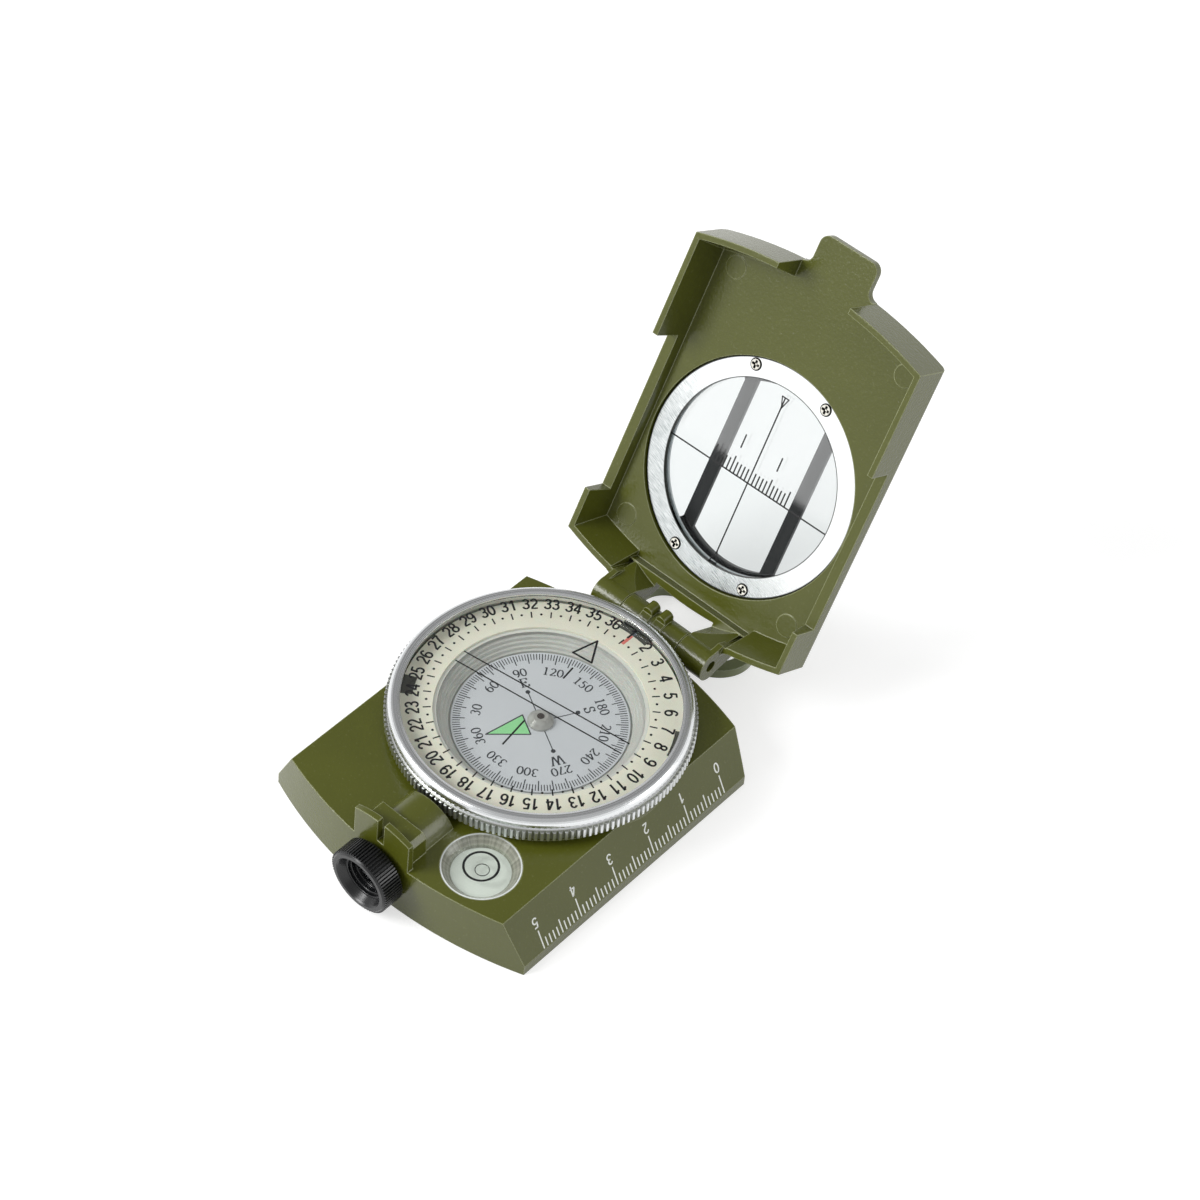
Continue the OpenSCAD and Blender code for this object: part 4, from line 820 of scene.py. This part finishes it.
# Level: black target ring printed on the vial, the vial's slanted wall with painted reflections, a painted
# highlight on its rim, and the bubble with painted shade at its edge
def makeLevel():
    size = {"film": 0.01, "ring": (2.99, 3.45), "wallFoot": 5.6, "wallLow": -1.8, "wallTop": 7.22,
            "wallHigh": -0.05, "rim": 7.49, "bubbleX": 15.5, "bubbleZ": 11.2, "bubbleRadius": 1.32,
            "bubbleDepth": 0.7, "bubbleEdge": 0.1}
    onVial = Matrix.Translation((levelPlace["x"], levelPlace["y"], topOf("level_vial")))
    film = size["film"]
    makePiece("levelRing", squareRing(*size["ring"], 0, film, onVial), moulded["blackInk"], "case")
    wall = [(size["wallFoot"], size["wallLow"]), (size["wallTop"], size["wallHigh"]),
            (size["rim"], size["wallHigh"]), (size["rim"], size["wallLow"])]
    makePiece("levelWall", spinRing(wall, onVial), vialWall, "case")
    makePiece("levelRimHighlight", squareRing(size["wallTop"], size["rim"], 0, film, onVial), moulded["rimHighlight"],
              "case")
    inLiquid = Matrix.Translation((size["bubbleX"], levelPlace["y"], size["bubbleZ"]))
    radius, edgeRadius = size["bubbleRadius"], size["bubbleEdge"]
    edge = [(radius + edgeRadius * math.cos(t), edgeRadius * math.sin(t))
            for t in (i * math.pi / 4 for i in range(8))]
    makePiece("bubbleEdge", spinRing(edge, inLiquid, steps=64), moulded["bubbleShade"], "case",
              smooth=True)
    bubble = bmesh.new()
    squash = Matrix.Diagonal((1, 1, size["bubbleDepth"] / 2 / radius, 1))
    bmesh.ops.create_uvsphere(bubble, u_segments=40, v_segments=20, radius=radius, matrix=inLiquid @ squash)
    makePiece("levelBubble", bubble, bubbleAir, "case", smooth=True)
    print("level made")


# Pale ring in the bowl's colour under the card's edge: painted light that fills the shaded gap between card
# and bowl
def makeBowlLedge():
    size = {"inner": 16.6, "outer": 17.32, "low": 11.1, "high": 11.55}
    makePiece("gapLightRing", squareRing(**size, steps=128), moulded["capsuleStyrene"], "case")
    print("bowl ledge made")


# Stepped rings low in the eyecup, turned about the tube's axis.
# Each step has its radius and how far it stands in front of their foot, which lies depth behind the front.
def makeEyecupRings():
    size = {"depth": 4.95, "steps": ((4.7, 3.4), (4.22, 3.4), (4.12, 3.3), (4.06, 2.75), (3.84, 2.75),
                                     (3.74, 2.65), (3.66, 1.8), (3.75, 1.74))}
    low, high = (corner / mm for corner in map(Vector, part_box("focus_ring")))
    middle = (low + high) / 2
    place = (Matrix.Translation((middle.x, low.y + size["depth"], middle.z))
             @ Matrix.Rotation(math.radians(90), 4, "X"))
    makePiece("eyecupRings", spinRing(size["steps"], place), moulded["blackAbs"], "eyepiece_ring")
    print("eyecup rings made")


# Index mark on the luminous ring and the square on the rear pad
def makeIndex():
    size = {"film": 0.02, "line": (22.7, 25.5), "lineWidth": 0.68, "square": (25.7, 26.5), "squareWidth": 0.8}
    place = atAzimuth(0, 0, topOf("luminous_ring"))
    marks = (("indexLine", "line", moulded["redInk"], "luminous_plastic"),
             ("padSquare", "square", moulded["squareInk"], "dark_pad"))
    for name, mark, ink, slot in marks:
        inner, outer = size[mark]
        printed = bmesh.new()
        printBar(printed, place, (0, inner), (0, outer), size[mark + "Width"], size["film"])
        makePiece(name, printed, ink, "case")
    print("index made")


makeDialPrint()
makeCardPrint()
makeRulerPrint()
makeGlassPrint()
makeRearFrame()
makeLevel()
makeBowlLedge()
makeEyecupRings()
makeIndex()


# Camera where the photograph was taken from, solved from the printed scale and the dial
def placeCamera():
    view = {"place": (254.456, -305.089, 498.563), "ahead": (-0.41159, 0.51744, -0.75024),
            "up": (-0.53088, 0.53299, 0.65885), "lens": 100.42, "sensor": 36, "clip": (0.01, 20)}
    place = Vector(view["place"]) * mm
    ahead = Vector(view["ahead"]).normalized()
    right = ahead.cross(Vector(view["up"])).normalized()
    upward = right.cross(ahead)
    data = bpy.data.cameras.new("photoCamera")
    data.lens = view["lens"]
    data.sensor_width = view["sensor"]
    data.sensor_fit = "HORIZONTAL"
    data.clip_start, data.clip_end = view["clip"]
    camera = bpy.data.objects.new("photoCamera", data)
    camera.matrix_world = Matrix((
        (right.x, upward.x, -ahead.x, place.x),
        (right.y, upward.y, -ahead.y, place.y),
        (right.z, upward.z, -ahead.z, place.z),
        (0, 0, 0, 1)))
    bpy.context.scene.collection.objects.link(camera)
    bpy.context.scene.camera = camera


# One where a ray is of a kind that shows a thing as it is seen, and not as it lights others
def seenRays(tree, kinds):
    lightPath = addNode(tree, "LightPath")
    seen = lightPath.outputs[kinds[0]]
    for kind in kinds[1:]:
        seen = addNode(tree, "Math", {}, {0: seen, 1: lightPath.outputs[kind]}, operation="MAXIMUM")
    return lightPath, seen


# Surroundings: white where seen or seen through glass, soft on the surfaces.
# Mirrored, they darken from the horizon up, with a darker flag behind the compass.
def makeSurroundings():
    studio = {"soft": 0.56, "horizon": 1.1, "overhead": 0.55, "domeHeights": (0.2, 0.6),
              "flagWay": (-0.41, 0.52, 0.75), "flagReach": (0.6, 0.9), "flagLevel": 0.6}
    world = bpy.data.worlds.new("studio")
    world.use_nodes = True
    bpy.context.scene.world = world
    tree = world.node_tree
    tree.nodes.clear()
    lightPath, seen = seenRays(tree, ("Is Camera Ray", "Is Transmission Ray"))
    way = addNode(tree, "TexCoord").outputs["Generated"]
    towardsFlag = addNode(tree, "VectorMath", {1: studio["flagWay"]}, {0: way}, operation="DOT_PRODUCT")
    start, full = studio["flagReach"]
    flag = addNode(tree, "MapRange", {"From Min": start, "From Max": full, "To Min": 1.0,
                                      "To Max": studio["flagLevel"]},
                   {"Value": towardsFlag}, interpolation_type="SMOOTHSTEP")
    height = addNode(tree, "SeparateXYZ", {}, {"Vector": way}).outputs["Z"]
    low, high = studio["domeHeights"]
    dome = addNode(tree, "MapRange", {"From Min": low, "From Max": high, "To Min": studio["horizon"],
                                      "To Max": studio["overhead"]},
                   {"Value": height}, interpolation_type="SMOOTHSTEP")
    mirrored = addNode(tree, "Math", {}, {0: flag, 1: dome}, operation="MULTIPLY")
    level = addNode(tree, "Mix", {"A": studio["soft"]},
                    {"Factor": lightPath.outputs["Is Glossy Ray"], "B": mirrored})
    strength = addNode(tree, "Mix", {"B": 1.0}, {"Factor": seen, "A": level})
    back = addNode(tree, "Background", {"Color": (1, 1, 1, 1)}, {"Strength": strength})
    addNode(tree, "OutputWorld", links={"Surface": back})


# Pale paper floor, a hair under the compass, that is white where nothing shades it
def makeFloor():
    look = {"halfSize": 6000, "height": -0.02, "paper": "c4c4c4", "fibre": "c9c9c9", "fibreSize": 1.1,
            "nearGlow": 0.6, "farGlow": 0.75, "near": 100, "far": 1500}
    material, tree = newMaterial("floorPaper")
    point = texturePoint(tree)
    fibres = addNode(tree, "TexNoise", {"Scale": 1 / look["fibreSize"], "Detail": 2}, {"Vector": point})
    paper = addNode(tree, "Mix", {"A": linearColour(look["paper"]), "B": linearColour(look["fibre"])},
                    {"Factor": fibres}, data_type="RGBA")
    lit = addNode(tree, "BsdfDiffuse", {}, {"Color": paper})
    seen = seenRays(tree, ("Is Camera Ray", "Is Glossy Ray", "Is Transmission Ray"))[1]
    # the lamps reach less far out, where the paper glows more, so that no horizon shows
    away = addNode(tree, "VectorMath", {}, {0: point}, operation="LENGTH")
    glow = addNode(tree, "MapRange", {"From Min": look["near"], "From Max": look["far"],
                                      "To Min": look["nearGlow"], "To Max": look["farGlow"]}, {"Value": away})
    glow = addNode(tree, "Math", {}, {0: seen, 1: glow}, operation="MULTIPLY")
    white = addNode(tree, "Emission", {}, {"Strength": glow})
    finishMaterial(tree, addNode(tree, "AddShader", {}, {0: lit, 1: white}))
    built = bmesh.new()
    bmesh.ops.create_grid(built, x_segments=1, y_segments=1, size=look["halfSize"],
                          matrix=Matrix.Translation((0, 0, look["height"])))
    floor = makeObject("studioFloor", built, material)


# A large soft lamp high at the front left, so that the photograph's edges are bright and its inner left wall
# dark, and a weak one at the back right. Places and sizes are in metres.
def placeLamps():
    aimPoint = Vector((0, 0.01, 0.02))
    lamps = {"keyLamp": {"place": (-0.7, -0.95, 0.9), "size": 0.7, "power": 17.5},
             "rightLamp": {"place": (1.1, 0.65, 0.5), "size": 0.7, "power": 4.4}}
    for name, lamp in lamps.items():
        data = bpy.data.lights.new(name, "AREA")
        data.shape = "SQUARE"
        data.size = lamp["size"]
        data.energy = lamp["power"]
        place = Vector(lamp["place"])
        aim = (aimPoint - place).to_track_quat("-Z", "Y")
        lampObject = bpy.data.objects.new(name, data)
        lampObject.matrix_world = Matrix.Translation(place) @ aim.to_matrix().to_4x4()
        bpy.context.scene.collection.objects.link(lampObject)


placeCamera()
makeSurroundings()
makeFloor()
placeLamps()
bpy.context.scene.view_settings.view_transform = "Standard"
print("studio made")
